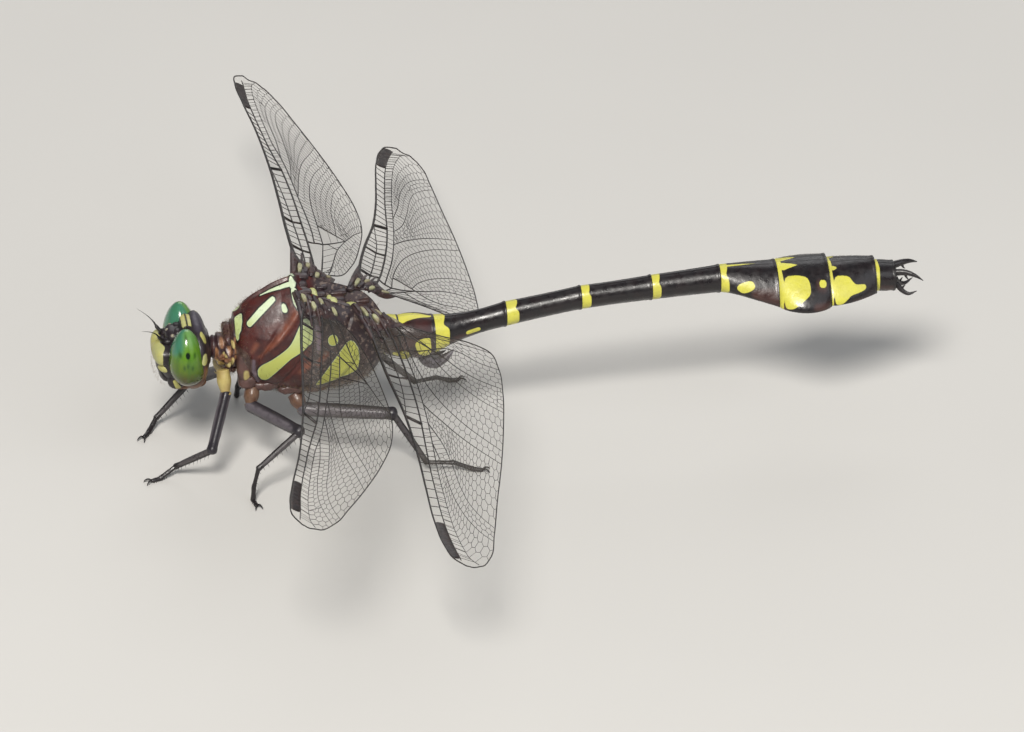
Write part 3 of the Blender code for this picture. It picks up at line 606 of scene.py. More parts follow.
def spikes(roots, ways, widths, bends=None):
    """Many thin curved spikes at once: a three-sided ring at each root, a smaller one half way that
    is drawn aside by the bend, and a point."""
    across = unit(np.cross(ways, np.where(np.abs(unit(ways)[:, 2:3]) > 0.8, AHEAD, UPRIGHT)))
    ring = rings(across, unit(np.cross(ways, across)), 3)
    widths = spread(widths, len(roots))
    bends = np.zeros_like(roots) if bends is None else bends
    points = np.concatenate([
        roots[:, None] + widths * ring,
        (roots + 0.55 * ways - 0.3 * bends)[:, None] + 0.62 * widths * ring,
        (roots + ways + bends)[:, None]], axis=1)
    quads = np.array([[0, 1, 4, 3], [1, 2, 5, 4], [2, 0, 3, 5]])
    fans = np.array([[3, 4, 6], [4, 5, 6], [5, 3, 6], [2, 1, 0]])
    return repeated(points, quads, fans)


def joined(solids):
    """Several solids as one; a value that one of them lacks is far outside there."""
    names = sorted({name for solid in solids for name in solid["values"]})
    points = np.concatenate([solid["points"] for solid in solids])
    offset, faces = 0, []
    values = {name: [] for name in names}
    for solid in solids:
        faces += [group + offset for group in solid["faces"]]
        count = len(solid["points"])
        for name in names:
            values[name].append(solid["values"].get(name, np.full(count, OUTSIDE)))
        offset += count
    values = {name: np.concatenate(parts) for name, parts in values.items()}
    return {"points": points, "faces": faces, "values": values}


def mirrored(solid, side):
    """The solid as given for the right side, or its mirror image for the left."""
    if side > 0.0:
        return solid
    faces = [group[:, ::-1] for group in solid["faces"]]
    return {"points": solid["points"] * (1.0, -1.0, 1.0), "faces": faces, "values": solid["values"]}


def stroke_depth(points, mark):
    """How deep points lie in a chain of balls, in mm: the radius there, less the distance to the
    chain. Both sides of the body count as one, and each axis is weighed before measuring."""
    weights, knots = mark
    if weights == FLANK:
        return outline_depth(points, knots)
    knots = np.asarray(knots, float)
    places = np.stack([points[:, 0], np.abs(points[:, 1]), points[:, 2]], axis=1) * weights
    depth = np.full(len(points), OUTSIDE)
    for a, b in zip(knots, knots[1:]):
        start, way = a[:3] * weights, (b[:3] - a[:3]) * weights
        t = np.clip((places - start) @ way / (way @ way), 0.0, 1.0)
        away = np.linalg.norm(places - start - t[:, None] * way, axis=1)
        depth = np.maximum(depth, a[3] + t * (b[3] - a[3]) - away)
    return depth


def outline_depth(points, corners):
    """How deep points lie inside an outline on the flank, in mm: the distance to its nearest edge,
    taken as less than zero outside. Its corners are cut twice first, and a point is inside if an
    odd number of edges lie behind it."""
    flat, corners = points[:, [0, 2]], np.asarray(corners, float)
    for _ in range(2):
        after = np.roll(corners, -1, axis=0)
        cut = [0.8 * corners + 0.2 * after, 0.2 * corners + 0.8 * after]
        corners = np.stack(cut, axis=1).reshape(-1, 2)
    away, inside = np.full(len(flat), -OUTSIDE), np.zeros(len(flat), bool)
    for a, b in zip(corners, np.roll(corners, -1, axis=0)):
        way = b - a
        t = np.clip((flat - a) @ way / (way @ way), 0.0, 1.0)
        away = np.minimum(away, np.linalg.norm(flat - a - t[:, None] * way, axis=1))
        reach = a[0] + (flat[:, 1] - a[1]) / (way[1] + 1e-9) * way[0]
        inside ^= ((a[1] > flat[:, 1]) != (b[1] > flat[:, 1])) & (flat[:, 0] < reach)
    return np.where(inside, away, -away) + 0.04


def marked(solid, marks):
    """Give a solid one value per colour of mark: how deep each point lies in it."""
    for name, strokes in marks.items():
        depth = np.max([stroke_depth(solid["points"], stroke) for stroke in strokes], axis=0)
        solid["values"][name] = np.maximum(depth, solid["values"].get(name, OUTSIDE))
    return solid


def labelled(solid, *names):
    """The solid with every named value: far outside wherever it has none."""
    for name in names:
        solid["values"].setdefault(name, np.full(len(solid["points"]), OUTSIDE))
    return solid


def filled(solid, name, number):
    """The solid with one value that is the same all over."""
    solid["values"][name] = np.full(len(solid["points"]), number)
    return solid


def relief(grid, lines, sign):
    """Height of grooves or ridges: sign times the line's height times exp(-(distance/width)^2)."""
    points = grid.reshape(-1, 3)
    height = np.zeros(len(points))
    for weights, amount, width, knots in lines:
        away = stroke_depth(points, (weights, [(*knot, 0.0) for knot in knots]))
        height += sign * amount * bell(away, 0.0, width)
    return height.reshape(grid.shape[:2])


# ---------------------------------------------------------------- pieces
def make_piece(name, solid, look, slot, *nodes):
    """A finished piece from a solid: its mesh in the frame's place, riding on the frame."""
    mesh = bpy.data.meshes.new(name)
    faces = [face for group in solid["faces"] for face in group.tolist()]
    mesh.from_pydata(((solid["points"] + SHIFT) * MM).tolist(), [], faces)
    for label, values in solid["values"].items():
        attribute = mesh.attributes.new(label, "FLOAT", "POINT")
        attribute.data.foreach_set("value", np.asarray(values, np.float32))
    if "patches" in solid:
        add_patches(mesh, solid["patches"])
    mesh.shade_smooth()
    mesh.materials.append(look)
    piece = bpy.data.objects.new(name, mesh)
    bpy.context.scene.collection.objects.link(piece)
    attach(piece, "root")
    if nodes:
        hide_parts(*nodes)
    return piece


def add_patches(mesh, patches):
    """The map OFBake: each corner lies in its tuft's small patch, at the root's place."""
    layer = mesh.uv_layers.new(name="OFBake")
    corners = np.empty(len(mesh.loops), np.int32)
    mesh.loops.foreach_get("vertex_index", corners)
    layer.data.foreach_set("uv", patches[corners].astype(np.float32).ravel())


# ---------------------------------------------------------------- looks
# The dark line round a mark, and the specks on the thorax's rear flanks.
LINE_TONE = (0.006, 0.004, 0.004)
SPECK_TONE = (0.13, 0.095, 0.078)


def add_node(tree, kind, settings=(), **sockets):
    """A shader node with its settings, and each named socket set to a value or joined to another."""
    node = tree.nodes.new(kind)
    for key, value in dict(settings).items():
        setattr(node, key, value)
    for key, value in sockets.items():
        key = key.replace("_", " ")
        socket = node.inputs[int(key)] if key.isdigit() else node.inputs[key]
        if isinstance(value, bpy.types.NodeSocket):
            tree.links.new(value, socket)
        else:
            socket.default_value = value
    return node


def rgba(colour):
    """A colour that covers fully."""
    return (*colour, 1.0)


def shade(colour, share):
    """A colour at a share of its strength."""
    return tuple(share * part for part in colour)


def new_look(name, roughness, coat=0.0, specular=0.5):
    """An empty material: its tree, its shader, and the object's own coordinates."""
    look = bpy.data.materials.new(name)
    look.use_nodes = True
    tree = look.node_tree
    shader = tree.nodes["Principled BSDF"]
    shader.inputs["Roughness"].default_value = roughness
    shader.inputs["Coat Weight"].default_value = coat
    shader.inputs["Coat Roughness"].default_value = 0.18
    shader.inputs["Specular IOR Level"].default_value = specular
    place = add_node(tree, "ShaderNodeTexCoord").outputs["Object"]
    return look, tree, shader, place


def noise(tree, place, size_mm, detail=3.0):
    """A noise whose lumps are about the given size."""
    settings = {"noise_dimensions": "3D"}
    scale = 1.0 / (size_mm * MM)
    node = add_node(tree, "ShaderNodeTexNoise", settings, Vector=place, Scale=scale, Detail=detail)
    return node.outputs["Fac"]


def cells(tree, place, size_mm):
    """How far a place is from the middle of its cell, for cells of about the given size."""
    settings = {"feature": "F1", "voronoi_dimensions": "3D"}
    scale = 1.0 / (size_mm * MM)
    node = add_node(tree, "ShaderNodeTexVoronoi", settings, Vector=place, Scale=scale)
    return node.outputs["Distance"]


def value_of(tree, label):
    """A solid's value at the place that is shaded."""
    return add_node(tree, "ShaderNodeAttribute", {"attribute_name": label}).outputs["Fac"]


def times(tree, first, second):
    """Two values multiplied."""
    node = add_node(tree, "ShaderNodeMath", {"operation": "MULTIPLY"}, **{"0": first, "1": second})
    return node.outputs[0]


def ramp(tree, value, low, high, to_low=0.0, to_high=1.0):
    """A smooth step of a value between two limits."""
    node = tree.nodes.new("ShaderNodeMapRange")
    node.interpolation_type = "SMOOTHSTEP"
    tree.links.new(value, node.inputs["Value"])
    limits = {"From Min": low, "From Max": high, "To Min": to_low, "To Max": to_high}
    for key, number in limits.items():
        node.inputs[key].default_value = number
    return node.outputs["Result"]


def mix(tree, factor, first, second):
    """One colour turning into another."""
    node = tree.nodes.new("ShaderNodeMix")
    node.data_type = "RGBA"
    for socket, value in ((node.inputs[0], factor), (node.inputs[6], first), (node.inputs[7], second)):
        if isinstance(value, bpy.types.NodeSocket):
            tree.links.new(value, socket)
        else:
            socket.default_value = value if socket.type == "VALUE" else rgba(value)
    return node.outputs[2]


def add_bump(tree, shader, layers):
    """Bumps on one another: each layer is a height and how deep it is in millimetres."""
    normal = None
    for height, depth in layers:
        sockets = {"Strength": 1.0, "Distance": depth * MM, "Height": height}
        if normal is not None:
            sockets["Normal"] = normal
        normal = add_node(tree, "ShaderNodeBump", **sockets).outputs["Normal"]
    tree.links.new(normal, shader.inputs["Normal"])


def dress(tree, shader, colour, patches, low, high, bumps):
    """Join a colour, a roughness that varies in patches from low to high, and bumps to a shader."""
    tree.links.new(colour, shader.inputs["Base Color"])
    tree.links.new(ramp(tree, patches, 0.3, 0.7, low, high), shader.inputs["Roughness"])
    add_bump(tree, shader, bumps)


def shell_look(name, base, other, marks=(), roughness=0.32, coat=0.25, pits=0.03, grain=0.004):
    """Horny shell: two tones in soft clouds, pitted and faintly grained, with sharp-edged marks. A
    mark is its value's name, its colour, a second tone, the width of a dark line round it, and how
    softly its edge fades."""
    look, tree, shader, place = new_look(name, roughness, coat)
    clouds = ramp(tree, noise(tree, place, 1.1), 0.35, 0.68)
    fine = noise(tree, place, 0.16, 4.0)
    colour = mix(tree, clouds, base, other)
    colour = mix(tree, ramp(tree, fine, 0.4, 0.75, 0.0, 0.35), colour, shade(base, 0.35))
    for value, tone, second, line, edge in marks:
        sockets = {"0": fine, "1": 0.05, "2": value_of(tree, value)}
        wobble = add_node(tree, "ShaderNodeMath", {"operation": "MULTIPLY_ADD"}, **sockets).outputs[0]
        if line:
            colour = mix(tree, ramp(tree, wobble, -line - 0.01, -line + 0.05), colour, LINE_TONE)
        tint = mix(tree, clouds, tone, second)
        tint = mix(tree, ramp(tree, fine, 0.45, 0.8, 0.0, 0.25), tint, shade(tone, 0.6))
        colour = mix(tree, ramp(tree, wobble, 0.02 - edge, 0.02 + edge), colour, tint)
    bumps = [(ramp(tree, cells(tree, place, 0.14), 0.0, 0.45), grain), (noise(tree, place, 0.45), pits)]
    dress(tree, shader, colour, noise(tree, place, 0.5), roughness - 0.07, roughness + 0.12, bumps)
    return look


def plain_look(name, base, other, roughness=0.35, coat=0.2, size=0.4, depth=0.03):
    """Two tones in clouds of the given size, with a bump that follows finer ones."""
    look, tree, shader, place = new_look(name, roughness, coat)
    colour = mix(tree, ramp(tree, noise(tree, place, size, 4.0), 0.35, 0.68), base, other)
    bumps = [(noise(tree, place, 0.12, 4.0), depth)]
    low = max(0.05, roughness - 0.1)
    dress(tree, shader, colour, noise(tree, place, 0.3), low, roughness + 0.12, bumps)
    return look


def limb_look(name, base, bloom, roughness=0.42):
    """A leg's shell: dark, with a pale waxy bloom along its flanks where the value says so."""
    look, tree, shader, place = new_look(name, roughness, 0.15)
    clouds = noise(tree, place, 0.45, 4.0)
    depth = ramp(tree, value_of(tree, "bloom"), 0.0, 1.0)
    wax = times(tree, depth, ramp(tree, clouds, 0.25, 0.6, 0.45, 1.0))
    bumps = [(noise(tree, place, 0.1, 4.0), 0.02)]
    dress(tree, shader, mix(tree, wax, base, bloom), clouds, roughness - 0.1, roughness + 0.15, bumps)
    return look


# The eye's tones, each laid over those before it: the value that shows it, where it starts and is
# full, how much it covers, and its colour. The foot's tone lies under them all. The foot's tone and
# the lowest height tone are olive, darkened as painted shade under the head.
EYE_SHADED_FOOT = (0.062, 0.054, 0.004)
EYE_TONES = (("height", -0.55, -0.05, 1.0, (0.085, 0.15, 0.004)), ("height", -0.1, 0.45, 1.0,
    (0.1, 0.225, 0.016)), ("height", 0.5, 0.92, 1.0, (0.14, 0.29, 0.08)), ("crown", 0.15, 0.8, 1.0,
    (0.048, 0.185, 0.115)), ("bands", 0.45, 0.95, 0.5, (0.05, 0.11, 0.008)), ("clouds", 0.4, 0.75, 0.3,
    (0.02, 0.13, 0.02)), ("echoes", 0.0, 1.0, 0.85, (0.016, 0.05, 0.005)), ("spot", 0.25, 0.75, 1.0,
    (0.002, 0.006, 0.003)), ("rim", 0.0, 0.5, 1.0, (0.3, 0.26, 0.13)), ("facets", 0.35, 0.75, 0.22,
    (0.01, 0.05, 0.01)))


def eye_look(name):
    """A compound eye: blue-green crown, green middle and yellow-olive foot darkened with painted shade,
    faint upright bands, a dark spot with paler echoes, and a fine net of facets."""
    look, tree, shader, place = new_look(name, 0.16, 0.6, 0.25)
    labels = ("height", "crown", "bands", "echoes", "spot", "rim")
    values = {label: value_of(tree, label) for label in labels}
    values["clouds"] = noise(tree, place, 1.2)
    values["facets"] = cells(tree, place, 0.05)
    # the foot's olive starts darkened as painted shade
    colour = EYE_SHADED_FOOT
    for label, low, high, most, tone in EYE_TONES:
        colour = mix(tree, ramp(tree, values[label], low, high, 0.0, most), colour, tone)
    bumps = [(ramp(tree, values["facets"], 0.0, 0.7, 1.0, 0.0), 0.0014)]
    dress(tree, shader, colour, values["clouds"], 0.12, 0.2, bumps)
    return look


def film_look(name, tint, alpha):
    """Wing film: clear, faintly smoky and amber, with a low ripple between the veins."""
    look, tree, shader, place = new_look(name, 0.14, 0.0, 0.9)
    colour = mix(tree, ramp(tree, noise(tree, place, 3.0), 0.35, 0.7), tint, shade(tint, 0.72))
    shader.inputs["Alpha"].default_value = alpha
    bumps = [(noise(tree, place, 0.8), 0.06)]
    dress(tree, shader, colour, noise(tree, place, 1.0), 0.1, 0.22, bumps)
    return look


# ---------------------------------------------------------------- head
def head_solids():
    """The capsule under the face and eyes, closed at both ends."""
    grid = body_grid(HEAD, ease(HEAD[0][0], HEAD[-1][0], 110), 160)
    return marked(closed(grid, 0.3, 0.25), HEAD_MARKS)


def face_lump(middle, radii, power=2.4, rows=30, count=48):
    """A closed superellipsoid."""
    return closed(lump_grid(middle, radii, rows, count, power))


def lumps(shapes):
    """Many lumps: middle, radii and squareness of each; one beside the middle plane has a twin."""
    parts = []
    for (x, y, z), radii, power in shapes:
        for side in SIDES.values() if y else (1.0,):
            parts.append(face_lump((x, y * side, z), radii, power))
    return parts


def frons_solid():
    """The forehead: a wide lump whose rear edge is scalloped in three, with a faint furrow."""
    solid = face_lump((-1.98, 0.0, 10.95), (1.08, 2.32, 1.02), 2.7, 60, 100)
    x, y, z = solid["points"].T
    z -= 0.16 * bell(y, 0.0, 0.35) * (z > 10.9)
    scallop = 0.14 * np.cos(3.0 * pi * y / 2.3) + 0.12 * np.abs(y) / 2.3
    pale = np.minimum(-2.3 + scallop - x, z - 10.28 + 0.03 * y * y)
    solid["values"]["yellow"] = np.minimum(pale, 2.42 - np.abs(y))
    return solid


def face_solids():
    """Clypeus, upper lip and jaws, as overlapping lumps with their own marks."""
    clypeus = face_lump((-1.92, 0.0, 9.88), (0.86, 2.12, 0.62), 2.5, 40, 72)
    parts = [
        marked(clypeus, {"yellow": ((SIDE, ((-2.28, 1.9, 9.82, 0.42), (-1.8, 2.1, 9.52, 0.56))),)}),
        face_lump((-2.0, 0.0, 9.32), (0.7, 1.35, 0.36), 2.4),
        face_lump((-1.75, 0.0, 8.72), (0.74, 1.62, 0.66), 2.3, 40, 60)]
    spot = {"yellow": ((SIDE, ((-1.32, 2.1, 8.78, 0.16), (-1.02, 2.1, 8.1, 0.22))),)}
    jaws = lumps([((-1.12, 1.72, 8.62), (0.78, 0.55, 0.78), 2.2)])
    return joined(parts + [marked(jaw, spot) for jaw in jaws])


def labium_solid():
    """The lower lip: a middle lobe and two side lobes, tucked under the jaws."""
    return joined(lumps((
        ((-0.35, 0.0, 7.85), (1.45, 0.85, 0.5), 2.6), ((-0.45, 0.95, 7.98), (1.3, 0.8, 0.52), 2.7),
        ((0.5, 1.55, 8.35), (0.95, 0.7, 0.5), 2.6))))


def vertex_solid():
    """The crown between the eyes: a low double hump, with a ridge behind the eyelets."""
    return joined(lumps((
        ((-1.15, 0.0, 12.22), (0.76, 1.15, 0.62), 2.6), ((-0.8, 0.5, 12.58), (0.42, 0.52, 0.36), 2.4),
        ((-1.72, 0.8, 11.95), (0.42, 0.42, 0.36), 2.3))))


def ocelli_solid():
    """Three glassy eyelets on the crown."""
    parts = [face_lump((-1.66, 0.0, 12.6), (0.17, 0.22, 0.18), 2.0, 16, 24)]
    for side in SIDES.values():
        parts.append(face_lump((-1.32, 0.92 * side, 12.56), (0.17, 0.17, 0.17), 2.0, 16, 24))
    return joined(parts)


def occiput_solid():
    """The plate behind the crown: two pale halves, fore and aft of a dark crosswise ridge."""
    solid = face_lump((-0.04, 0.0, 13.3), (0.56, 1.12, 0.34), 2.6, 60, 80)
    x, y, z = solid["points"].T
    z += 0.1 * bell(x, -0.06, 0.07) * (z > 13.3)
    depth = np.minimum(np.abs(x + 0.06) - 0.07, np.minimum(x + 0.5, 0.3 - x))
    solid["values"]["yellow"] = np.minimum(np.minimum(depth, 1.0 - np.abs(y)), z - 13.3)
    return solid


def eye_solid(side):
    """An eye: a ball squeezed to three radii, slimmer towards its top and fuller at its lower rear.
    Its values say how high, how near the crown, and how deep in the dark spot or its echoes a
    point lies."""
    rows, count = 110, 150
    t = np.linspace(0.03, pi - 0.03, rows)[:, None]
    a = turns(count)[None, :]
    slim = (1.0 - EYE_TAPER * np.cos(t)) * np.sin(t)
    shape = np.stack([slim * np.cos(a), slim * np.sin(a), np.cos(t) + 0.0 * a], axis=2)
    high = shape[..., 2]
    heel = 0.12 * np.clip(0.2 - high, 0.0, 1.0) + 0.3 * np.clip(-0.1 - high, 0.0, 0.6)
    heel -= 0.08 * np.clip(high, 0.0, 1.0)
    shape[..., 0] += heel * np.clip(shape[..., 0], 0.0, 1.0)
    solid = closed(shape * EYE_RADII)
    x, y, z = (solid["points"] / EYE_RADII).T
    outward = np.clip(np.hypot(x, y), 0.0, 1.0)
    values = solid["values"]
    values["height"] = z
    inner = np.clip(0.15 - y, 0.0, 1.0)
    values["crown"] = (-1.7 * x + 0.35 * z - 0.2 + 1.8 * inner) * rising(z, 0.1, 0.45)
    values["bands"] = 0.5 + 0.5 * np.cos(9.0 * np.arctan2(-x, y) + 0.6 * z) * outward - 0.35 * np.abs(z)
    away = np.hypot((x + 0.04) / 0.15, (z - 0.39) / 0.125)
    values["spot"] = 1.35 - away * (y > 0.0) + OUTSIDE * (y < 0.0)
    echoes = [bell(x, across, 0.1) * bell(z, height, 0.11) for across, height in EYE_ECHOES]
    values["echoes"] = np.max(echoes, axis=0) * (y > 0.0) * 0.8
    values["rim"] = (0.035 - np.abs(z + 0.955)) * 14.0
    solid["points"] = solid["points"] + EYE_MIDDLE
    return mirrored(solid, side)


def antenna_solid(side):
    """A feeler: two thick joints and a bristle that thins to its end."""
    t = np.linspace(0.0, 1.0, 50)
    joints = 1.0 + 0.18 * bell(t, 0.2, 0.04) - 0.22 * bell(t, 0.3, 0.03)
    return mirrored(closed(tapering(ANTENNA_PATH, ANTENNA_RADII, 50, 14, joints), 0.0, 0.02), side)


# ---------------------------------------------------------------- thorax
# Plates over the hips: the middle and the half sizes of each.
BREAST_PLATES = ((4.95, 1.62, 8.05, 0.8, 0.75, 0.62), (6.55, 1.66, 7.62, 1.15, 0.74, 0.46),
    (8.75, 1.66, 7.1, 1.25, 0.74, 0.42), (10.7, 1.45, 6.98, 1.15, 0.78, 0.36))
# Dark humps of the back: place, height and size. Pale shields: place, height, half length and width.
BACK_HUMPS = ((9.75, 16.0, 0.85), (12.95, 14.2, 1.0), (11.5, 14.85, 0.75), (15.05, 13.2, 0.85))
BACK_SHIELDS = ((10.85, 15.1, 0.42, 0.95), (12.4, 14.2, 0.62, 0.7), (12.35, 14.22, 0.3, 1.15),
    (14.15, 13.45, 0.66, 0.9))


def neck_grid():
    """The plain loft of the neck shield."""
    return body_grid(PROTHORAX, np.linspace(PROTHORAX[0][0], PROTHORAX[-1][0], 90), 180)


def prothorax_solid():
    """The neck shield: a low front collar, two side humps and an upright rear collar, and the neck."""
    grid = neck_grid()
    x, y, z = grid[..., 0], grid[..., 1], grid[..., 2]
    top = rising(z, 11.0, 1.4)
    lift = 0.14 * bell(x, 2.65, 0.13) + 0.26 * top * bell(x, 3.92, 0.14)
    lift += 0.2 * top * bell(x, 3.3, 0.25) * np.cos(2.2 * y) ** 2
    lift -= 0.22 * bell(x, 2.92, 0.1) + 0.2 * bell(x, 3.68, 0.09)
    side = rising(np.abs(y), 0.8, 0.6)
    lift += 0.14 * side * np.cos(3.6 * (z - 10.4)) * bell(x, 3.3, 0.6)
    lift -= 0.16 * side * bell(z, 9.15, 0.1) + 0.12 * side * bell(z, 10.35 + 0.4 * (x - 3.3), 0.1)
    lift += 0.07 * np.sin(7.0 * x + 5.0 * z) * side
    solid = marked(closed(lifted(grid, lift)), NECK_MARKS)
    steps = np.arange(13.0)
    line = np.column_stack([1.3 + 0.1 * steps, 0.0 * steps, 10.65 + 0.0 * steps])
    return joined([solid, closed(tube(line, 0.95 - 0.1 * np.cos(steps), 40))])


def sink_back(grid):
    """Lower the back between the wing roots to a trough: its floor follows BACK_FLOOR, and it rises
    to the flank's own height with the square of the distance from the middle."""
    x, y, z = grid[..., 0], grid[..., 1], grid[..., 2]
    places, heights = np.array(BACK_FLOOR).T
    inside = np.clip(x, places[0], places[-1])
    floor = curve_through(places, heights, inside.ravel()).reshape(x.shape) + 0.42 * y * y
    blend = 0.5 * (z + floor - np.sqrt((z - floor) ** 2 + 0.03))
    grid[..., 2] = np.where((z > 12.0) & (x >= places[0]), blend, z)
    return grid


def thorax_grid():
    """The loft of the thorax, drawn in towards a keel like a roof on its upper front half."""
    grid = body_grid(THORAX, ease(THORAX[0][0], THORAX[-1][0], 230), 260)
    high = rising(grid[..., 2], 12.8, 4.0) * rising(grid[..., 0], 10.0, -2.0)
    grid[..., 1] *= 1.0 - 0.34 * high
    return grid


def thorax_solid():
    """The wing-bearing body: a loft with a sunk back, sutures pressed in along its flanks, a keel
    and crest on its back, and a flattened underside between the legs."""
    grid = thorax_grid()
    lift = relief(grid, THORAX_GROOVES, -1.0) + relief(grid, THORAX_RIDGES, 1.0)
    grid = sink_back(lifted(grid, lift))
    grid[..., 2] += 0.45 * bell(grid[..., 1], 0.0, 0.45) * rising(grid[..., 2], 8.6, -2.0)
    solid = marked(closed(grid, 0.1, 0.15), THORAX_MARKS)
    x, _, z = solid["points"].T
    solid["values"]["rear"] = np.clip((x - 10.3 - 0.2 * (z - 12.0)) / 0.5, -9.0, 9.0)
    solid["values"]["lower"] = 11.6 - z
    return solid


def breast_solid():
    """Plates low on the thorax's front flanks, over the hips of the middle and hind legs."""
    parts = []
    for side in SIDES.values():
        plate = face_lump((4.72, 1.75 * side, 9.55), (0.66, 0.66, 1.65), 2.6, 40, 50)
        parts.append(marked(plate, {"yellow": ((SIDE, ((4.8, 2.4, 9.25, 0.2), (4.85, 2.4, 8.8, 0.26))),)}))
        for x, y, z, *radii in BREAST_PLATES:
            parts.append(face_lump((x, y * side, z), radii, 3.2, 40, 50))
    for part in parts:
        x, y, z = part["points"].T
        part["points"][:, 2] += 0.05 * np.sin(5.0 * x + 3.0 * z) + 0.03 * np.sin(11.0 * x - 4.0 * np.abs(y))
    return joined([labelled(part, "yellow") for part in parts])


def back_plates():
    """The plates of the sunk back: for each wing pair dark humps, and pale shields on the midline."""
    dark = []
    for x, z, size in BACK_HUMPS:
        dark.append(((x, 0.6, z - 0.08), (0.78 * size, 0.62 * size, 0.26 * size), 3.4))
        dark.append(((x + 0.2, 1.32, z + 0.2), (0.8 * size, 0.48 * size, 0.26 * size), 3.4))
    pale = [face_lump((x, 0.0, z), (long, wide, 0.34), 2.6, 40, 60) for x, z, long, wide in BACK_SHIELDS]
    return labelled(joined(lumps(dark)), "pale"), joined(pale)


# ---------------------------------------------------------------- wings
def wing_axes(way, slope):
    """Axes of a wing: along it, back across it, and square to both, as in the solids."""
    along = unit(np.array(way))
    back = np.array([1.0, 0.0, 0.0])
    back = unit(back - along * (back @ along))
    upward = np.cross(along, back)
    upward = upward if upward[2] > 0.0 else -upward
    back = back * cos(radians(slope)) - upward * sin(radians(slope))
    square = np.cross(along, back)
    return along, back, square if square[2] > 0.0 else -square


def behind(line, part):
    """How far behind the front line a flat line runs at parts of the wing's length."""
    return np.interp(part, line[:, 0], line[:, 1])


def points_at(line, run, at):
    """Points of a flat line at the given distances along it."""
    return np.column_stack([np.interp(at, run, line[:, k]) for k in (0, 1)])


class Wing:
    """One wing's measure: turns a part of its length and millimetres behind its front line into a
    place, with the pleats that stiffen its front half."""

    def __init__(self, name):
        self.kind = name.split("_")[0]
        root, way, slope = WINGS[name]
        self.root = np.array(root)
        self.length = float(np.linalg.norm(way))
        self.along, self.back, self.square = wing_axes(way, slope)
        outline = np.array(OUTLINES[self.kind])
        tip = int(np.argmax(outline[:, 0]))
        self.front = self.smooth(outline[:tip + 1], 400)
        self.rear = self.smooth(np.concatenate([outline[:1], outline[:tip - 1:-1]]), 400)
        self.rear_run = self.run(self.rear)

    def smooth(self, knots, count):
        """The smooth curve through a few flat points, spaced as evenly as on the wing."""
        return path_through(np.asarray(knots, float) * (self.length, 1.0), count) / (self.length, 1.0)

    def run(self, line):
        """How far along a flat line its points lie, in millimetres."""
        return run_along(line * (self.length, 1.0))

    def nearest(self, line, point):
        """Which point of a flat line is nearest to a given one."""
        return int(np.argmin(np.linalg.norm((line - point) * (self.length, 1.0), axis=1)))

    def margin(self, part):
        """How far back the rear margin is at a part of the length."""
        outer = self.rear[np.argmax(self.rear[:, 1]):]
        return float(behind(outer if part > outer[0, 0] else self.rear, part))

    def place(self, flat):
        """Places of (part, behind) points: root + along + back, lifted by the pleats, which are
        highest under the front edge and fade to the rear, and by a low arch towards the tip."""
        part, back = flat[..., 0], flat[..., 1]
        across = back - behind(self.front, part)
        pleat = 0.16 * (1.0 - 0.6 * part) * np.cos(pi * across / PLEAT_WIDTH) * bell(across, 0.0, 2.2)
        camber = 0.05 * across * (1.0 - 0.1 * across) * np.sin(pi * np.clip(part, 0.0, 1.0))
        measures = ((self.along, part * self.length), (self.back, back), (self.square, pleat + camber))
        return self.root + sum(axis * size[..., None] for axis, size in measures)

    def vein(self, name):
        """A long vein as many close flat points; its last knot may lie on the margin."""
        if name == "margin":
            return self.rear
        knots = [list(knot) for knot in VEINS[self.kind][name][0]]
        if knots[-1][1] is None:
            knots[-1][1] = self.margin(knots[-1][0])
        return self.smooth(knots, 160)

    def chain(self, names):
        """Several veins end to end; name@part starts a vein there, and it stops where the next one
        starts. Evenly spaced points."""
        pieces = []
        for i, name in enumerate(names):
            label, _, start = name.partition("@")
            line = self.vein(label)
            if start:
                line = line[line[:, 0] >= float(start)]
            if i + 1 < len(names):
                after = self.vein(names[i + 1].partition("@")[0])[0]
                line = line[:max(2, self.nearest(line, after) + 1)]
            pieces.append(line)
        line = np.concatenate(pieces)
        run = self.run(line)
        return points_at(line, run, np.linspace(0.0, run[-1], 300))

    def margin_line(self, beside):
        """The rear margin from the root to where the given line meets it, evenly spaced."""
        last = max(self.nearest(self.rear, beside[-1]), 2)
        at = np.linspace(0.0, self.rear_run[last], len(beside))
        return points_at(self.rear, self.rear_run, at)

    def on_margin(self, start, end, shares):
        """Points on the rear margin between two of its points."""
        first, last = (self.rear_run[self.nearest(self.rear, point)] for point in (start, end))
        return points_at(self.rear, self.rear_run, first + (last - first) * shares)


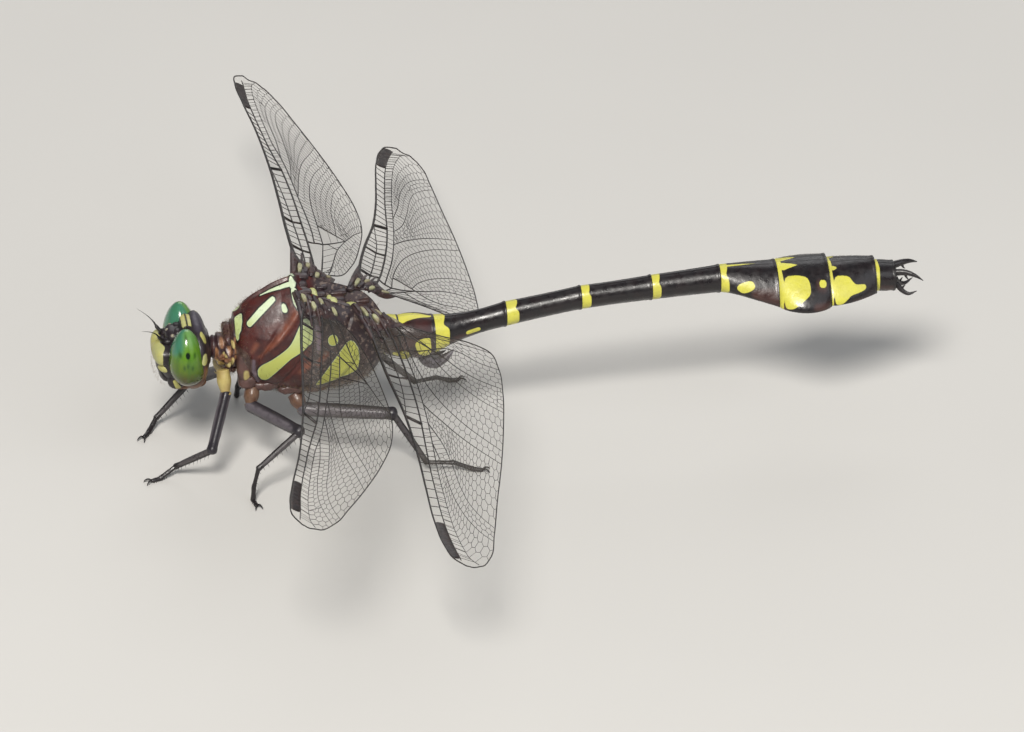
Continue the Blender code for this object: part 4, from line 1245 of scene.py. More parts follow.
def field_rungs(wing, field, rng):
    """The net between two veins. A place in it is (run, share): run goes along both veins at once,
    share across from one to the other, and at the far end the places bend onto the margin. Rows of
    cells part it where it is wide. Every line between rows is bent to and fro once a cell, and each
    rung joins the bends of two lines that point at each other, so that the cells are six-sided."""
    names_a, names_b, cell, row_width, most = field
    line_a = wing.chain(names_a)
    line_b = wing.margin_line(line_a) if names_b == ("margin",) else wing.chain(names_b)
    ends_out = [abs(wing.margin(line[-1, 0]) - line[-1, 1]) < 0.25 for line in (line_a, line_b)]
    bend = all(ends_out) and names_b != ("margin",)

    def at(run, share):
        steps = np.arange(len(line_a))
        index = np.clip(run, 0.0, 1.0) * steps[-1]
        a, b = points_at(line_a, steps, index), points_at(line_b, steps, index)
        flat = a + (b - a) * share[:, None]
        if bend:
            chord = line_a[-1] + (line_b[-1] - line_a[-1]) * share[:, None]
            edge = wing.on_margin(line_a[-1], line_b[-1], share)
            flat = flat + (edge - chord) * (np.clip(run, 0.0, 1.0) ** 3)[:, None]
        return flat

    length = 0.5 * (wing.run(line_a)[-1] + wing.run(line_b)[-1])
    steps = max(2, int(round(length / cell)))
    runs = np.linspace(0.0, 1.0, 2 * steps + 1)
    runs[1:-1] += (rng.random(2 * steps - 1) - 0.5) * 0.18 / steps
    ways = (at(runs, np.zeros(len(runs))) - at(runs, np.ones(len(runs)))) * (wing.length, 1.0)
    widths = np.linalg.norm(ways, axis=1)
    rows = np.clip(np.round(widths[1::2] / row_width), 1, most).astype(int)
    pairs = []
    for i, count in enumerate(rows):
        if widths[2 * i + 1] < 0.22:
            continue
        sway = 0.13 / count

        def share(k, j):
            return k / count + (0.0 if k in (0, count) else sway if (j + k) % 2 == 0 else -sway)

        for j in (2 * i, 2 * i + 1):
            for k in range(count):
                if (j + k) % 2 == 0 and 0.004 < runs[j] < 0.998:
                    pairs.append((runs[j], share(k, j), runs[j], share(k + 1, j)))
                if k:
                    pairs.append((runs[j], share(k, j), runs[j + 1], share(k, j + 1)))
        if i and rows[i - 1] != count:
            pairs.append((runs[2 * i], 0.0, runs[2 * i], 1.0))
    if not pairs:
        return np.zeros((0, 2)), np.zeros((0, 2))
    pairs = np.array(pairs)
    return at(pairs[:, 0], pairs[:, 1]), at(pairs[:, 2], pairs[:, 3])


def front_rungs(wing, rng):
    """Rungs between the front edge, the subcosta and the radius: to the nodus they cross both
    strips, and past it only the one up to the dark spot. Returns flat ends and radii."""
    kind = wing.kind
    nodus = NODUS[kind]
    costa, subcosta, radius = wing.front, wing.vein("subcosta"), wing.vein("radius")
    rungs = []

    def rung(first, start, second, end, thick):
        rungs.append((start, behind(first, start), end, behind(second, end), thick))

    parts = np.linspace(0.035, nodus - 0.03, 17 if kind == "fore" else 14)
    parts = np.sort(np.concatenate([parts + (rng.random(len(parts)) - 0.5) * 0.008, STRONG_RUNGS[kind]]))
    for part in parts:
        strong = part in STRONG_RUNGS[kind]
        shear = 0.0 if strong else RUNG_SHEAR
        thick = STRONG_RADIUS if strong else RUNG_RADIUS
        rung(costa, part, subcosta, part + shear, thick)
        rung(subcosta, part + shear, radius, part + shear + shear, thick)
    for part in np.linspace(nodus + 0.04, WING_SPOT[kind][0] - 0.025, 11):
        rung(costa, part, radius, part - RUNG_SHEAR, RUNG_RADIUS)
    rung(costa, nodus - 0.004, radius, nodus + 0.016, NODUS_RADIUS)
    rungs = np.array(rungs)
    return rungs[:, :2], rungs[:, 2:4], rungs[:, 4]


def wing_veins(name, thickness):
    """All veins of a wing as one solid: tubes along the edges and long veins, rods for the net."""
    wing = Wing(name)
    rng = np.random.default_rng(NET_SEEDS[wing.kind])
    front, rear = wing.place(wing.front[::-2][::-1]), wing.place(wing.rear[::-2][::-1])
    parts = [closed(tube(front, thickness * np.linspace(0.15, 0.055, len(front)), 8, lean=wing.square)),
             closed(tube(rear, thickness * 0.05, 6, lean=wing.square))]
    for label, (_, thick, thin) in VEINS[wing.kind].items():
        line = wing.place(wing.vein(label)[::2])
        radii = thickness * np.linspace(0.85 * thick, 0.72 * thin, len(line))
        parts.append(closed(tube(line, radii, 6, lean=wing.square)))
    for field in FIELDS[wing.kind]:
        starts, ends = field_rungs(wing, field, rng)
        if len(starts):
            parts.append(rods(wing.place(starts), wing.place(ends), thickness * NET_RADIUS))
    starts, ends, radii = front_rungs(wing, rng)
    parts.append(rods(wing.place(starts), wing.place(ends), thickness * radii, 6))
    return joined(parts)


def wing_film(name, thickness):
    """The film: a grid from the front edge to the rear one, its lower face a hair below its upper
    one, closed along the edges."""
    wing = Wing(name)
    share = np.linspace(0.0, 1.0, 30)[None, :, None]
    front, rear = wing.front[::2][:, None], wing.rear[::2][:, None]
    flat = front * (1.0 - share) + rear * share
    upper = wing.place(flat) + wing.square * 0.5 * thickness
    lower = wing.place(flat[:, ::-1]) - wing.square * 0.5 * thickness
    ring = np.concatenate([upper, lower], axis=1)
    return closed(ring[1:-1])


def wing_spot(name):
    """The dark spot near the tip: a flat bar that fills the strip between front edge and radius."""
    wing = Wing(name)
    start, end = WING_SPOT[wing.kind]
    part = np.linspace(start, end, 60)
    front, rear = behind(wing.front, part), behind(wing.vein("radius"), part + 0.004)
    ends = np.clip(np.sin(pi * np.linspace(0.02, 0.98, 60)) * 6.0, 0.0, 1.0) ** 0.5
    half = 0.5 * (rear - front) * ends
    line = wing.place(np.column_stack([part, 0.5 * (front + rear)]))
    across, upward = superellipse(SPOT_SQUARENESS, 16)
    side = (half[:, None] * across)[..., None] * wing.back
    height = (0.075 * ends[:, None] * upward)[..., None] * wing.square
    return closed(line[:, None] + side + height)


# Plates of a wing's hinge: place from front to rear, place from body to wing, their half sizes,
# height in millimetres, and whether the plate is pale.
HINGE_PLATES = ((0.05, 0.25, 0.06, 0.24, 0.3, 0), (0.09, 0.72, 0.075, 0.18, 0.26, 0),
    (0.2, 0.34, 0.065, 0.2, 0.34, 1), (0.24, 0.78, 0.07, 0.15, 0.22, 0),
    (0.35, 0.26, 0.06, 0.18, 0.28, 0), (0.38, 0.62, 0.055, 0.16, 0.3, 1),
    (0.5, 0.36, 0.07, 0.24, 0.26, 0), (0.53, 0.8, 0.065, 0.14, 0.2, 0),
    (0.65, 0.24, 0.06, 0.16, 0.24, 1), (0.68, 0.6, 0.065, 0.2, 0.22, 0),
    (0.8, 0.38, 0.06, 0.26, 0.18, 0), (0.9, 0.62, 0.055, 0.2, 0.14, 1))


# Struts of a wing's hinge: start beside its root, flat place of the end on the wing, and radii.
HINGE_STRUTS = (((-0.75, 1.35, 0.12), (0.135, -0.24), 0.36, 0.1), ((0.05, 1.75, 0.12), (0.115, 0.72),
    0.2, 0.08), ((0.75, 1.75, -0.12), (0.105, 1.45), 0.18, 0.07))


def wing_root(name):
    """The hinge of a wing: a leathery saddle from the body's rim to the wing's base, raised into
    flat-topped plates, with the blade of the front edge and two struts along it."""
    wing = Wing(name)
    side = SIDES[name.split("_")[1]]
    rows, count = 100, 44
    v, u = np.linspace(0.0, 1.0, rows)[:, None], np.linspace(0.0, 1.0, count)[None, :]
    middle = wing.root * (1.0, 0.0, 1.0)
    rear = 2.35 if wing.kind == "fore" else 1.75
    rim = ((-0.95, 1.3, 0.2), (0.1, 1.55, -0.05), (1.25, 1.65, -0.5), (rear, 1.72, -0.95))
    inner = path_through(middle + np.array(rim) * (1.0, side, 1.0), rows)
    outer = wing.place(np.column_stack([0.088 - 0.05 * v[:, 0], -0.3 + 3.75 * v[:, 0]]))
    sheet = inner[:, None] + (outer - inner)[:, None] * u[..., None]
    lift = 0.05 * np.sin(31.0 * v + 6.0 * u) * np.sin(pi * u) + 0.04 * np.sin(17.0 * u + 9.0 * v)
    pale = np.full((rows, count), OUTSIDE)
    for place, across, long, wide, high, light in HINGE_PLATES:
        reach = (np.abs((v - place) / long) ** 3 + np.abs((u - across) / wide) ** 3) ** (1.0 / 3.0)
        step = np.clip((1.15 - reach) / 0.32, 0.0, 1.0)
        lift = np.maximum(lift, high * step * step * (3.0 - 2.0 * step))
        if light:
            pale = np.maximum(pale, 0.35 * (0.95 - reach))
    bulge = np.sin(pi * u)
    over = sheet + (lift + 0.16 * bulge + 0.02)[..., None] * UPRIGHT
    under = sheet - (0.04 + 0.22 * bulge)[..., None] * UPRIGHT
    saddle = closed(np.concatenate([over, under[:, ::-1]], axis=1))
    values = np.concatenate([pale, np.full((rows, count), OUTSIDE)], axis=1)
    lids = ((len(LID_TURNS), len(LID_TURNS)), (0, 0))
    saddle["values"]["pale"] = np.append(np.pad(values, lids, "edge").ravel(), (OUTSIDE, OUTSIDE))
    parts = [saddle]
    for start, flat, thick, thin in HINGE_STRUTS:
        base = middle + np.array(start) * (1.0, side, 1.0)
        tip = wing.place(np.array(flat))
        line = path_through(np.stack([base, 0.5 * (base + tip) + (0.0, 0.0, 0.2), tip]), 30)
        parts.append(closed(tube(line, np.linspace(thick, thin, 30), 14, 0.62), 0.1, 0.05))
    return joined([labelled(part, "pale") for part in parts])


# ---------------------------------------------------------------- abdomen
def ring_solid(index):
    """One abdomen ring: stations run straight from joint to joint plus a sine swell; the widest
    points of each outline are drawn out and down by reach and droop times (y/width)^3. Its rear
    rim flares over the next ring, which starts a little inside it. Low keels run along the back
    and flanks, and a furrow along the belly."""
    front, back = np.array(ABDOMEN_JOINTS[index - 1]), np.array(ABDOMEN_JOINTS[index])
    length = back[0] - front[0]
    rows, count = 100 if length > 2.5 else 60, 128
    t = ease(-0.16 / length, 1.0 + 0.1 / length, rows)
    inside = np.clip(t, 0.0, 1.0)
    swell = np.sin(pi * inside)
    if index in NARROW_STARTS:
        front[1:5], front[6:8] = NARROW_STARTS[index][:4], NARROW_STARTS[index][4:]
    station = front + (back - front) * inside[:, None]
    station[:, 0] = front[0] + length * t
    flare = 0.055 * bell(t * length, length + 0.02, 0.16) - 0.1 * bell(t * length, -0.16, 0.22)
    station[:, 2:5] += (RING_SWELL[index - 1] * swell + flare)[:, None]
    height, width, rise, drop, power, reach, droop = station[:, 1:8].T[:, :, None]
    reach = reach + (LEAF_SWELL[index - 1] * swell ** 0.6)[:, None]
    across, upward = superellipse(power, count)
    weight = np.abs(across) ** 3
    y = width * across + np.sign(across) * weight * reach
    z = height + np.where(upward > 0.0, rise, drop) * upward - weight * droop
    lift = 0.045 * bell(y, 0.0, 0.1) * (upward > 0.0)
    lift += (0.05 * bell(np.abs(y), 0.42, 0.1) - 0.14 * bell(y, 0.0, 0.26)) * (upward < 0.0)
    grid = np.stack([station[:, 0:1] + 0.0 * y, y, z], axis=2)
    solid = marked(closed(lifted(grid, lift)), ABDOMEN_MARKS)
    x, y, z = solid["points"].T
    if index in RING_BANDS:
        start, end, waist, foot = RING_BANDS[index]
        rel = (z - front[1] - (back[1] - front[1]) * (x - front[0]) / length) / front[3]
        edge = end - waist * bell(rel, 0.72, 0.2) - foot * rising(rel, -0.35, -0.6) ** 2
        band = np.minimum(x - start, edge + 0.03 * np.sin(3.0 * y + index) - x)
        solid["values"]["yellow"] = np.maximum(solid["values"]["yellow"], band)
    solid["values"]["joint"] = 0.13 - (back[0] + 0.08 - x)
    solid["values"]["front"] = 21.0 - x
    return solid


def auricle_solid():
    """The little ear-like knobs on the second ring's flanks."""
    spot = {"yellow": ((SIDE, ((18.3, 1.9, 9.5, 0.45), (18.8, 1.9, 9.35, 0.4))),)}
    return joined([marked(lump, spot) for lump in lumps([((18.55, 1.62, 9.45), (0.5, 0.34, 0.42), 2.2)])])


def clasper_solid(path, radii, side, barb):
    """A clasper: a tapering hook with a blunt tooth beneath it."""
    hook = closed(tapering(path, radii, 40, 18, flat=1.15, lean=(0.0, 0.35, 1.0)), 0.05, 0.03)
    tooth = closed(tube(path_through(np.stack(barb), 12), np.linspace(0.15, 0.03, 12), 10))
    return mirrored(joined([hook, tooth]), side)


def tail_plug():
    """The small plates that the claspers spring from."""
    return joined(lumps((
        ((61.0, 0.0, 13.06), (0.42, 0.92, 0.86), 2.2), ((61.18, 0.52, 12.82), (0.3, 0.34, 0.3), 2.0))))


def hamule_solid():
    """The grey keeled shield under the second and third rings, with a small hook on each side."""
    shield = closed(tapering(HAMULE_PATH, HAMULE_RADII, 50, 28, flat=0.9), 0.05, 0.04)
    path = ((20.5, 0.55, 8.5), (21.2, 0.72, 8.05), (21.9, 0.66, 8.0), (22.4, 0.5, 8.3))
    hook = closed(tapering(path, (0.26, 0.24, 0.16, 0.04), 24, 12))
    return joined([shield] + [mirrored(hook, side) for side in SIDES.values()])


# ---------------------------------------------------------------- legs
def limb_solid(start, end, thick, thin, knob=0.0, flat=1.0, ridge=0.05):
    """A straight limb with swollen ends: the radius runs from thick to thin, with a knob at each
    end that dies away over a fifth of the length, and four low ridges along it."""
    rows, count = 46, 24
    t = np.linspace(0.0, 1.0, rows)
    start, end = np.asarray(start, float), np.asarray(end, float)
    line = start + (end - start) * t[:, None]
    length = np.linalg.norm(end - start)
    lean = np.cross(end - start, (0.3, 0.2, 1.0))
    radii = thick + (thin - thick) * t + 0.1 * thick * np.sin(pi * t)
    radii *= 1.0 + knob * (bell((1.0 - t) * length, 0.0, 0.35) + 0.5 * bell(t * length, 0.0, 0.3))
    grid = tube(line, radii, count, flat, lean)
    ridges = 1.0 + ridge * np.cos(4.0 * turns(count)[None, :, None])
    grid = line[:, None] + (grid - line[:, None]) * ridges
    solid = closed(grid, 0.7 * radii[0], 0.7 * radii[-1])
    way = (end - start) / length
    run = (solid["points"] - start) @ way
    foot = solid["points"] - start - run[:, None] * way
    lean = unit(lean)
    stripes = np.cos(2.0 * np.arctan2(foot @ np.cross(way, lean), foot @ lean))
    solid["values"]["bloom"] = 0.55 + 0.75 * stripes - 1.8 * bell(run, length, 0.55)
    return solid


def leg_spines(start, end, radius, count, long, row_turns, rng, sweep=0.35):
    """Rows of spines along a limb: each leans towards the limb's end."""
    start, end = np.asarray(start, float), np.asarray(end, float)
    way = end - start
    length = np.linalg.norm(way)
    way = way / length
    across = unit(np.cross(way, (0.0, 0.0, -1.0)))
    down = np.cross(across, way)
    roots, ways = [], []
    for turn in row_turns:
        out = down * cos(turn) + across * sin(turn)
        share = (np.arange(count) + 0.6 + 0.25 * rng.random(count)) / (count + 0.6)
        roots.append(start + way * (share * length)[:, None] + out * radius * 0.8)
        size = long * (1.0 - 0.35 * share) * (0.85 + 0.3 * rng.random(count))
        ways.append((out + way * sweep) * size[:, None])
    return filled(spikes(np.concatenate(roots), np.concatenate(ways), SPINE_RADIUS), "bloom", -1.0)


def foot_solid(joints, rng):
    """A foot: three short joints, pads under them, and two hooked claws, none below the floor."""
    ankle, arch, ball, toe = (np.array(joint) for joint in joints)
    parts = []
    for start, end, thin in ((ankle, arch, 0.16), (arch, ball, 0.17), (ball, toe, 0.13)):
        parts.append(limb_solid(start, end, FOOT_RADIUS, thin, 0.35))
        parts.append(leg_spines(start, end, FOOT_RADIUS, 3, 0.26, (-0.7, 0.7), rng, 0.5))
    way = unit((toe - ball) * (1.0, 1.0, 0.0))
    across = np.array([-way[1], way[0], 0.0])
    for turn in SIDES.values():
        axes = np.stack([way, across * turn, np.array([0.0, 0.0, 1.0])])
        parts.append(closed(tapering(toe + np.array(CLAW_PATH) @ axes, CLAW_RADII, 16, 8)))
    solid = joined(parts)
    solid["points"][:, 2] = np.maximum(solid["points"][:, 2], 0.0)
    return filled(solid, "bloom", -1.0)


def coxa_solid(name, socket, hip):
    """A hip: a stout cone out of the body and a small ring that carries the thigh."""
    t = np.linspace(0.0, 1.0, 40)
    socket, hip = np.array(socket, float), np.array(hip, float)
    fore = name.startswith("fore")
    back, thick, cone_tone, ring_tone = (0.75, 0.72, 0.4, 0.35) if fore else (0.5, 0.78, -0.25, -0.2)
    inner = socket + (socket - hip) * back
    line = inner + (hip - inner) * t[:, None]
    radii = thick * (1.0 - 0.34 * t) * (1.0 - 0.12 * np.cos(tau * t))
    cone = closed(tube(line, radii, 36, 0.9, (1.0, 0.2, 0.0)), 0.1, 0.25)
    way = unit(hip - socket)
    cone["values"]["yellow"] = cone_tone - 1.2 * bell((cone["points"] - inner) @ way, 2.1, 0.16)
    turn = np.linspace(-1.0, 1.0, 14)
    ring = closed(tube(hip + way * 0.22 * turn[:, None], 0.44 + 0.07 * np.cos(2.8 * turn), 28), 0.1, 0.1)
    return joined([cone, filled(ring, "yellow", ring_tone)])


# ---------------------------------------------------------------- hairs
# Where the seven points of a hair lie in its patch, and how wide the patch is.
PATCH_CORNERS = ((0, 0), (1, 0), (0.5, 0.4), (0, 0.5), (1, 0.5), (0.5, 0.7), (0.5, 1.0))
PATCH_SIZE = 0.003


def hair_solid(grid, share_ok, count, length, width, lie, rng):
    """Hairs rooted on a grid: roots are drawn by area where share_ok allows, each hair leans from
    the surface's normal towards lie, and its patch is at its root's place on the unrolled grid."""
    rows, columns = grid.shape[:2]
    normals = grid_normals(grid)
    along = np.linalg.norm(np.gradient(grid, axis=0), axis=2)
    around = np.linalg.norm(np.roll(grid, -1, axis=1) - grid, axis=2)
    chance = along * around * share_ok(grid, normals)
    chance = chance.ravel() / chance.sum()
    picked = rng.choice(rows * columns, count, p=chance)
    row, column = picked // columns, picked % columns
    slip = rng.random((count, 2)) - 0.5
    after = grid[np.clip(row + 1, 0, rows - 1), column] - grid[row, column]
    beside = grid[row, (column + 1) % columns] - grid[row, column]
    roots = grid[row, column] + after * slip[:, :1] + beside * slip[:, 1:] - 0.02 * normals[row, column]
    aside = rng.normal(0.0, 0.28, (count, 3))
    ways = unit(normals[row, column] + np.asarray(lie) + aside)
    size = length * (0.6 + 0.6 * rng.random(count))[:, None]
    bends = np.asarray(lie) * size * 0.25 + rng.normal(0.0, 0.05, (count, 3)) * size
    solid = spikes(roots, ways * size, width, bends)
    place = np.column_stack([(row + 0.5) / rows, (column + 0.5) / columns]) * 0.98 + 0.01
    solid["patches"] = (place[:, None] + PATCH_SIZE * np.array(PATCH_CORNERS)).reshape(-1, 2)
    return solid


def thorax_share(grid, normals):
    """Hairs of the thorax: most beneath, many at the front edge and some on the front of the back."""
    x, z = grid[..., 0], grid[..., 2]
    back = 0.25 * rising(z, 14.0, 2.0) * (x < 8.7)
    return 0.03 + 2.2 * rising(z, 8.4, -1.2) + 0.8 * bell(x, 4.8, 0.5) + back


def neck_share(grid, normals):
    """Hairs of the neck shield: most on its top and beneath."""
    return 0.2 + (grid[..., 2] > 12.0) + 1.2 * (grid[..., 2] < 9.4)


def face_share(grid, normals):
    """Hairs of the face: only where it looks ahead."""
    return np.clip(-normals[..., 0] - 0.2, 0.0, 1.0)


# ---------------------------------------------------------------- add-on: settings
def colour_property(name, description, default):
    """A colour setting."""
    return bpy.props.FloatVectorProperty(
        name=name, description=description, default=default, size=3, min=0.0, max=1.0, subtype="COLOR")


def number_property(name, description, default, least=0.0, **more):
    """A number setting, from its least value up."""
    return bpy.props.FloatProperty(
        name=name, description=description, default=default, min=least, **more)


def length_property(name, description, default):
    """A length setting, given in millimetres."""
    return number_property(name, description, default * MM, unit="LENGTH", precision=6)


class DRAGONFLY_PG_colours(bpy.types.PropertyGroup):
    """Colours of the shell, its marks and the legs."""
    maroon: colour_property("Maroon", "Main colour of the thorax", (0.064, 0.0095, 0.0065))
    dark: colour_property("Dark shell", "Black-brown of the abdomen and head", (0.006, 0.0042, 0.0055))
    mint: colour_property("Mint", "Upper stripes of the thorax", (0.54, 0.63, 0.44))
    lime: colour_property("Lime", "Lower stripes of the thorax", (0.42, 0.45, 0.095))
    yellow: colour_property("Yellow", "Rings and spots of the abdomen", (0.56, 0.53, 0.068))
    cream: colour_property("Cream", "Bars of the face", (0.37, 0.37, 0.15))
    tan: colour_property("Tan", "Ridges and joints", (0.2, 0.062, 0.034))
    bloom: colour_property("Bloom", "Waxy grey of the thighs", (0.15, 0.13, 0.15))
    hair: colour_property("Hair", "Short hairs of the body", (0.24, 0.17, 0.1))


class DRAGONFLY_PG_sizes(bpy.types.PropertyGroup):
    """Sizes of the fine parts."""
    film: length_property("Wing film", "Thickness of the clear film", 0.02)
    vein: number_property(
        "Vein thickness", "Multiplies the radius of every vein", 1.0, 0.2, max=3.0, subtype="FACTOR")
    film_alpha: number_property(
        "Film cover", "How much of the light each face of the film stops", 0.045, max=1.0, subtype="FACTOR")
    hair_length: length_property("Hair length", "Mean length of the body's hairs", 0.42)
    hair_width: length_property("Hair width", "Radius of a hair at its root", 0.011)
    spine_length: length_property("Spine length", "Length of the spines on the shins", 0.55)


class DRAGONFLY_PG_stage(bpy.types.PropertyGroup):
    """Camera, lights and floor."""
    azimuth: number_property(
        "Azimuth", "Turn of the camera round the body", radians(-8.0), -tau, subtype="ANGLE")
    elevation: number_property(
        "Elevation", "Height of the camera above the level", radians(31.0), subtype="ANGLE")
    distance: number_property("Distance", "Camera to the middle of the view", 1.2, 0.1, unit="LENGTH")
    view_width: length_property("View width", "Width of the view at the body", 87.5)
    floor: colour_property("Floor", "Colour of the floor", (0.56, 0.55, 0.53))
    key_power: number_property("Key light", "Power of the main light", 9.5, unit="POWER")
    fill_power: number_property("Fill light", "Power of the soft light", 2.4, unit="POWER")
    sky: number_property("Sky", "Strength of the light from all round", 0.22)


# ---------------------------------------------------------------- add-on: operators
def colours():
    """The colours set in the sidebar."""
    return bpy.context.scene.dragonfly_colours


def sizes():
    """The sizes set in the sidebar."""
    return bpy.context.scene.dragonfly_sizes


def shared_look(name, build):
    """A look is made once and used again by its name."""
    return bpy.data.materials.get(name) or build(name)


def abdomen_look(name):
    """Abdomen: black-brown, redder in front, with yellow bands and spots and black joints."""
    tone = colours()
    return shell_look(name, tuple(tone.dark), (0.01, 0.0055, 0.0065), (
        ("front", (0.04, 0.01, 0.009), (0.016, 0.006, 0.006), 0.0, 0.7),
        ("red", (0.048, 0.019, 0.015), (0.028, 0.011, 0.01), 0.0, 0.22),
        ("yellow", tuple(tone.yellow), (0.5, 0.47, 0.075), 0.0, 0.03),
        ("joint", (0.006, 0.004, 0.005), (0.012, 0.008, 0.008), 0.0, 0.03)), 0.33, 0.16)


def head_look(name):
    """Head: black, with a brown rear edge, a painted purple-grey highlight on the nape and cream bars."""
    tone = colours()
    return shell_look(name, (0.008, 0.005, 0.007), (0.018, 0.011, 0.015), (
        ("brown", (0.17, 0.075, 0.03), (0.1, 0.04, 0.018), 0.0, 0.12),
        # painted purple-grey highlight on the nape
        ("bloom", (0.04, 0.032, 0.048), (0.026, 0.02, 0.032), 0.0, 0.15),
        ("yellow", tuple(tone.cream), (0.4, 0.37, 0.1), 0.0, 0.03)), 0.4, 0.12)


def thorax_look(name):
    """Thorax: maroon, darker to the rear and earthy below, with tan ridges and pale stripes."""
    tone = colours()
    return shell_look(name, tuple(tone.maroon), (0.034, 0.006, 0.006), (
        ("rear", (0.016, 0.008, 0.011), (0.034, 0.018, 0.018), 0.0, 0.9),
        ("earth", (0.075, 0.038, 0.03), (0.04, 0.022, 0.02), 0.0, 0.18),
        ("tan", tuple(tone.tan), (0.12, 0.035, 0.02), 0.0, 0.24),
        ("bloom", (0.15, 0.11, 0.14), (0.09, 0.065, 0.08), 0.0, 0.1),
        ("mint", tuple(tone.mint), (0.54, 0.64, 0.42), 0.11, 0.03)), 0.42, 0.1)


def finish_thorax(look):
    """Let the thorax's stripes turn from mint to lime towards the belly and yellower to the rear,
    and speckle its dark rear flanks with tan."""
    tree = look.node_tree
    shader = tree.nodes["Principled BSDF"]
    place = add_node(tree, "ShaderNodeTexCoord").outputs["Object"]
    value = {label: value_of(tree, label) for label in ("lower", "mint", "rear", "earth")}
    colour = shader.inputs["Base Color"].links[0].from_socket
    inside = ramp(tree, value["mint"], 0.0, 0.04)
    outside = ramp(tree, value["mint"], -0.16, -0.1, 1.0, 0.0)
    specks = ramp(tree, noise(tree, place, 0.36, 5.0), 0.53, 0.62, 0.0, 0.85)
    for label in ("rear", "earth"):
        region = times(tree, times(tree, ramp(tree, value[label], 0.0, 0.5), specks), outside)
        colour = mix(tree, region, colour, SPECK_TONE)
    for label, start, end, most, tone in (
            ("lower", -3.3, -1.7, 0.92, (0.4, 0.46, 0.18)),
            ("lower", -1.7, 0.8, 0.92, tuple(colours().lime)),
            ("rear", 0.0, 1.0, 0.85, (0.36, 0.37, 0.05))):
        share = times(tree, inside, ramp(tree, value[label], start, end, 0.0, most))
        colour = mix(tree, share, colour, tone)
    tree.links.new(colour, shader.inputs["Base Color"])


# Values that every piece with the head's look carries.
HEAD_LABELS = ("yellow", "brown", "bloom")


class DRAGONFLY_OT_head(bpy.types.Operator):
    """Head capsule, forehead, lips, jaws, crown, eyelets and nape plate"""
    bl_idname = "dragonfly.head"
    bl_label = "Head"

    def execute(self, context):
        look = shared_look("Head shell", head_look)
        make_piece("head_capsule", head_solids(), look, "head_shell", "head")
        parts = {"forehead": frons_solid, "lips_and_jaws": face_solids, "crown": vertex_solid,
                 "nape_plate": occiput_solid}
        for name, build in parts.items():
            make_piece(name, labelled(build(), *HEAD_LABELS), look, "head_shell")
        brown = plain_look("Brown lip", (0.2, 0.085, 0.035), (0.1, 0.04, 0.018), 0.4, 0.1)
        make_piece("lower_lip", labium_solid(), brown, "brown_shell")
        glassy = plain_look("Eyelet", (0.3, 0.27, 0.2), (0.16, 0.13, 0.09), 0.1, 0.8, 0.2, 0.003)
        make_piece("eyelets", ocelli_solid(), glassy, "eye")
        return {"FINISHED"}


class DRAGONFLY_OT_eyes(bpy.types.Operator):
    """The two compound eyes"""
    bl_idname = "dragonfly.eyes"
    bl_label = "Eyes"

    def execute(self, context):
        look = shared_look("Compound eye", eye_look)
        for name, side in SIDES.items():
            make_piece("compound_eye_" + name, eye_solid(side), look, "eye", "eye_" + name)
        return {"FINISHED"}


class DRAGONFLY_OT_antennae(bpy.types.Operator):
    """The two feelers"""
    bl_idname = "dragonfly.antennae"
    bl_label = "Feelers"

    def execute(self, context):
        look = shared_look("Black shell", black_look)
        for name, side in SIDES.items():
            make_piece("feeler_" + name, antenna_solid(side), look, "black_shell", "antenna_" + name)
        return {"FINISHED"}


def black_look(name):
    """Black shell of shins, feet, feelers and claspers."""
    return limb_look(name, (0.012, 0.009, 0.01), (0.06, 0.052, 0.055), 0.34)


class DRAGONFLY_OT_thorax(bpy.types.Operator):
    """Neck shield, wing-bearing body and the plates of its back"""
    bl_idname = "dragonfly.thorax"
    bl_label = "Thorax"

    def execute(self, context):
        neck = shell_look("Neck shell", (0.03, 0.014, 0.018), (0.07, 0.03, 0.026), (
            ("tan", (0.3, 0.15, 0.075), (0.17, 0.075, 0.04), 0.0, 0.1),
            ("yellow", (0.46, 0.38, 0.16), (0.4, 0.28, 0.1), 0.0, 0.06)), 0.38, 0.15, 0.07)
        make_piece("neck_shield", prothorax_solid(), neck, "thorax_shell", "prothorax")
        breast = shell_look("Breast shell", (0.095, 0.045, 0.038), (0.055, 0.03, 0.028), (
            ("yellow", (0.4, 0.34, 0.13), (0.34, 0.24, 0.09), 0.0, 0.1),), 0.42, 0.12, 0.07)
        make_piece("breast_plates", breast_solid(), breast, "thorax_shell")
        look = shared_look("Thorax shell", thorax_look)
        finish_thorax(look)
        make_piece("thorax_shell", thorax_solid(), look, "thorax_shell", "thorax")
        dark, pale = back_plates()
        make_piece("back_humps", dark, shared_look("Wing hinge", hinge_look), "thorax_shell")
        shield = plain_look("Back shield", (0.48, 0.49, 0.2), (0.4, 0.42, 0.16), 0.36, 0.2, 0.5, 0.05)
        make_piece("back_shields", pale, shield, "thorax_shell")
        return {"FINISHED"}


def hinge_look(name):
    """Hinge plates: dark and leathery, with some of them pale."""
    return shell_look(name, (0.02, 0.012, 0.016), (0.06, 0.03, 0.026), (
        ("pale", (0.36, 0.36, 0.2), (0.24, 0.2, 0.12), 0.05, 0.08),), 0.42, 0.12, 0.05)


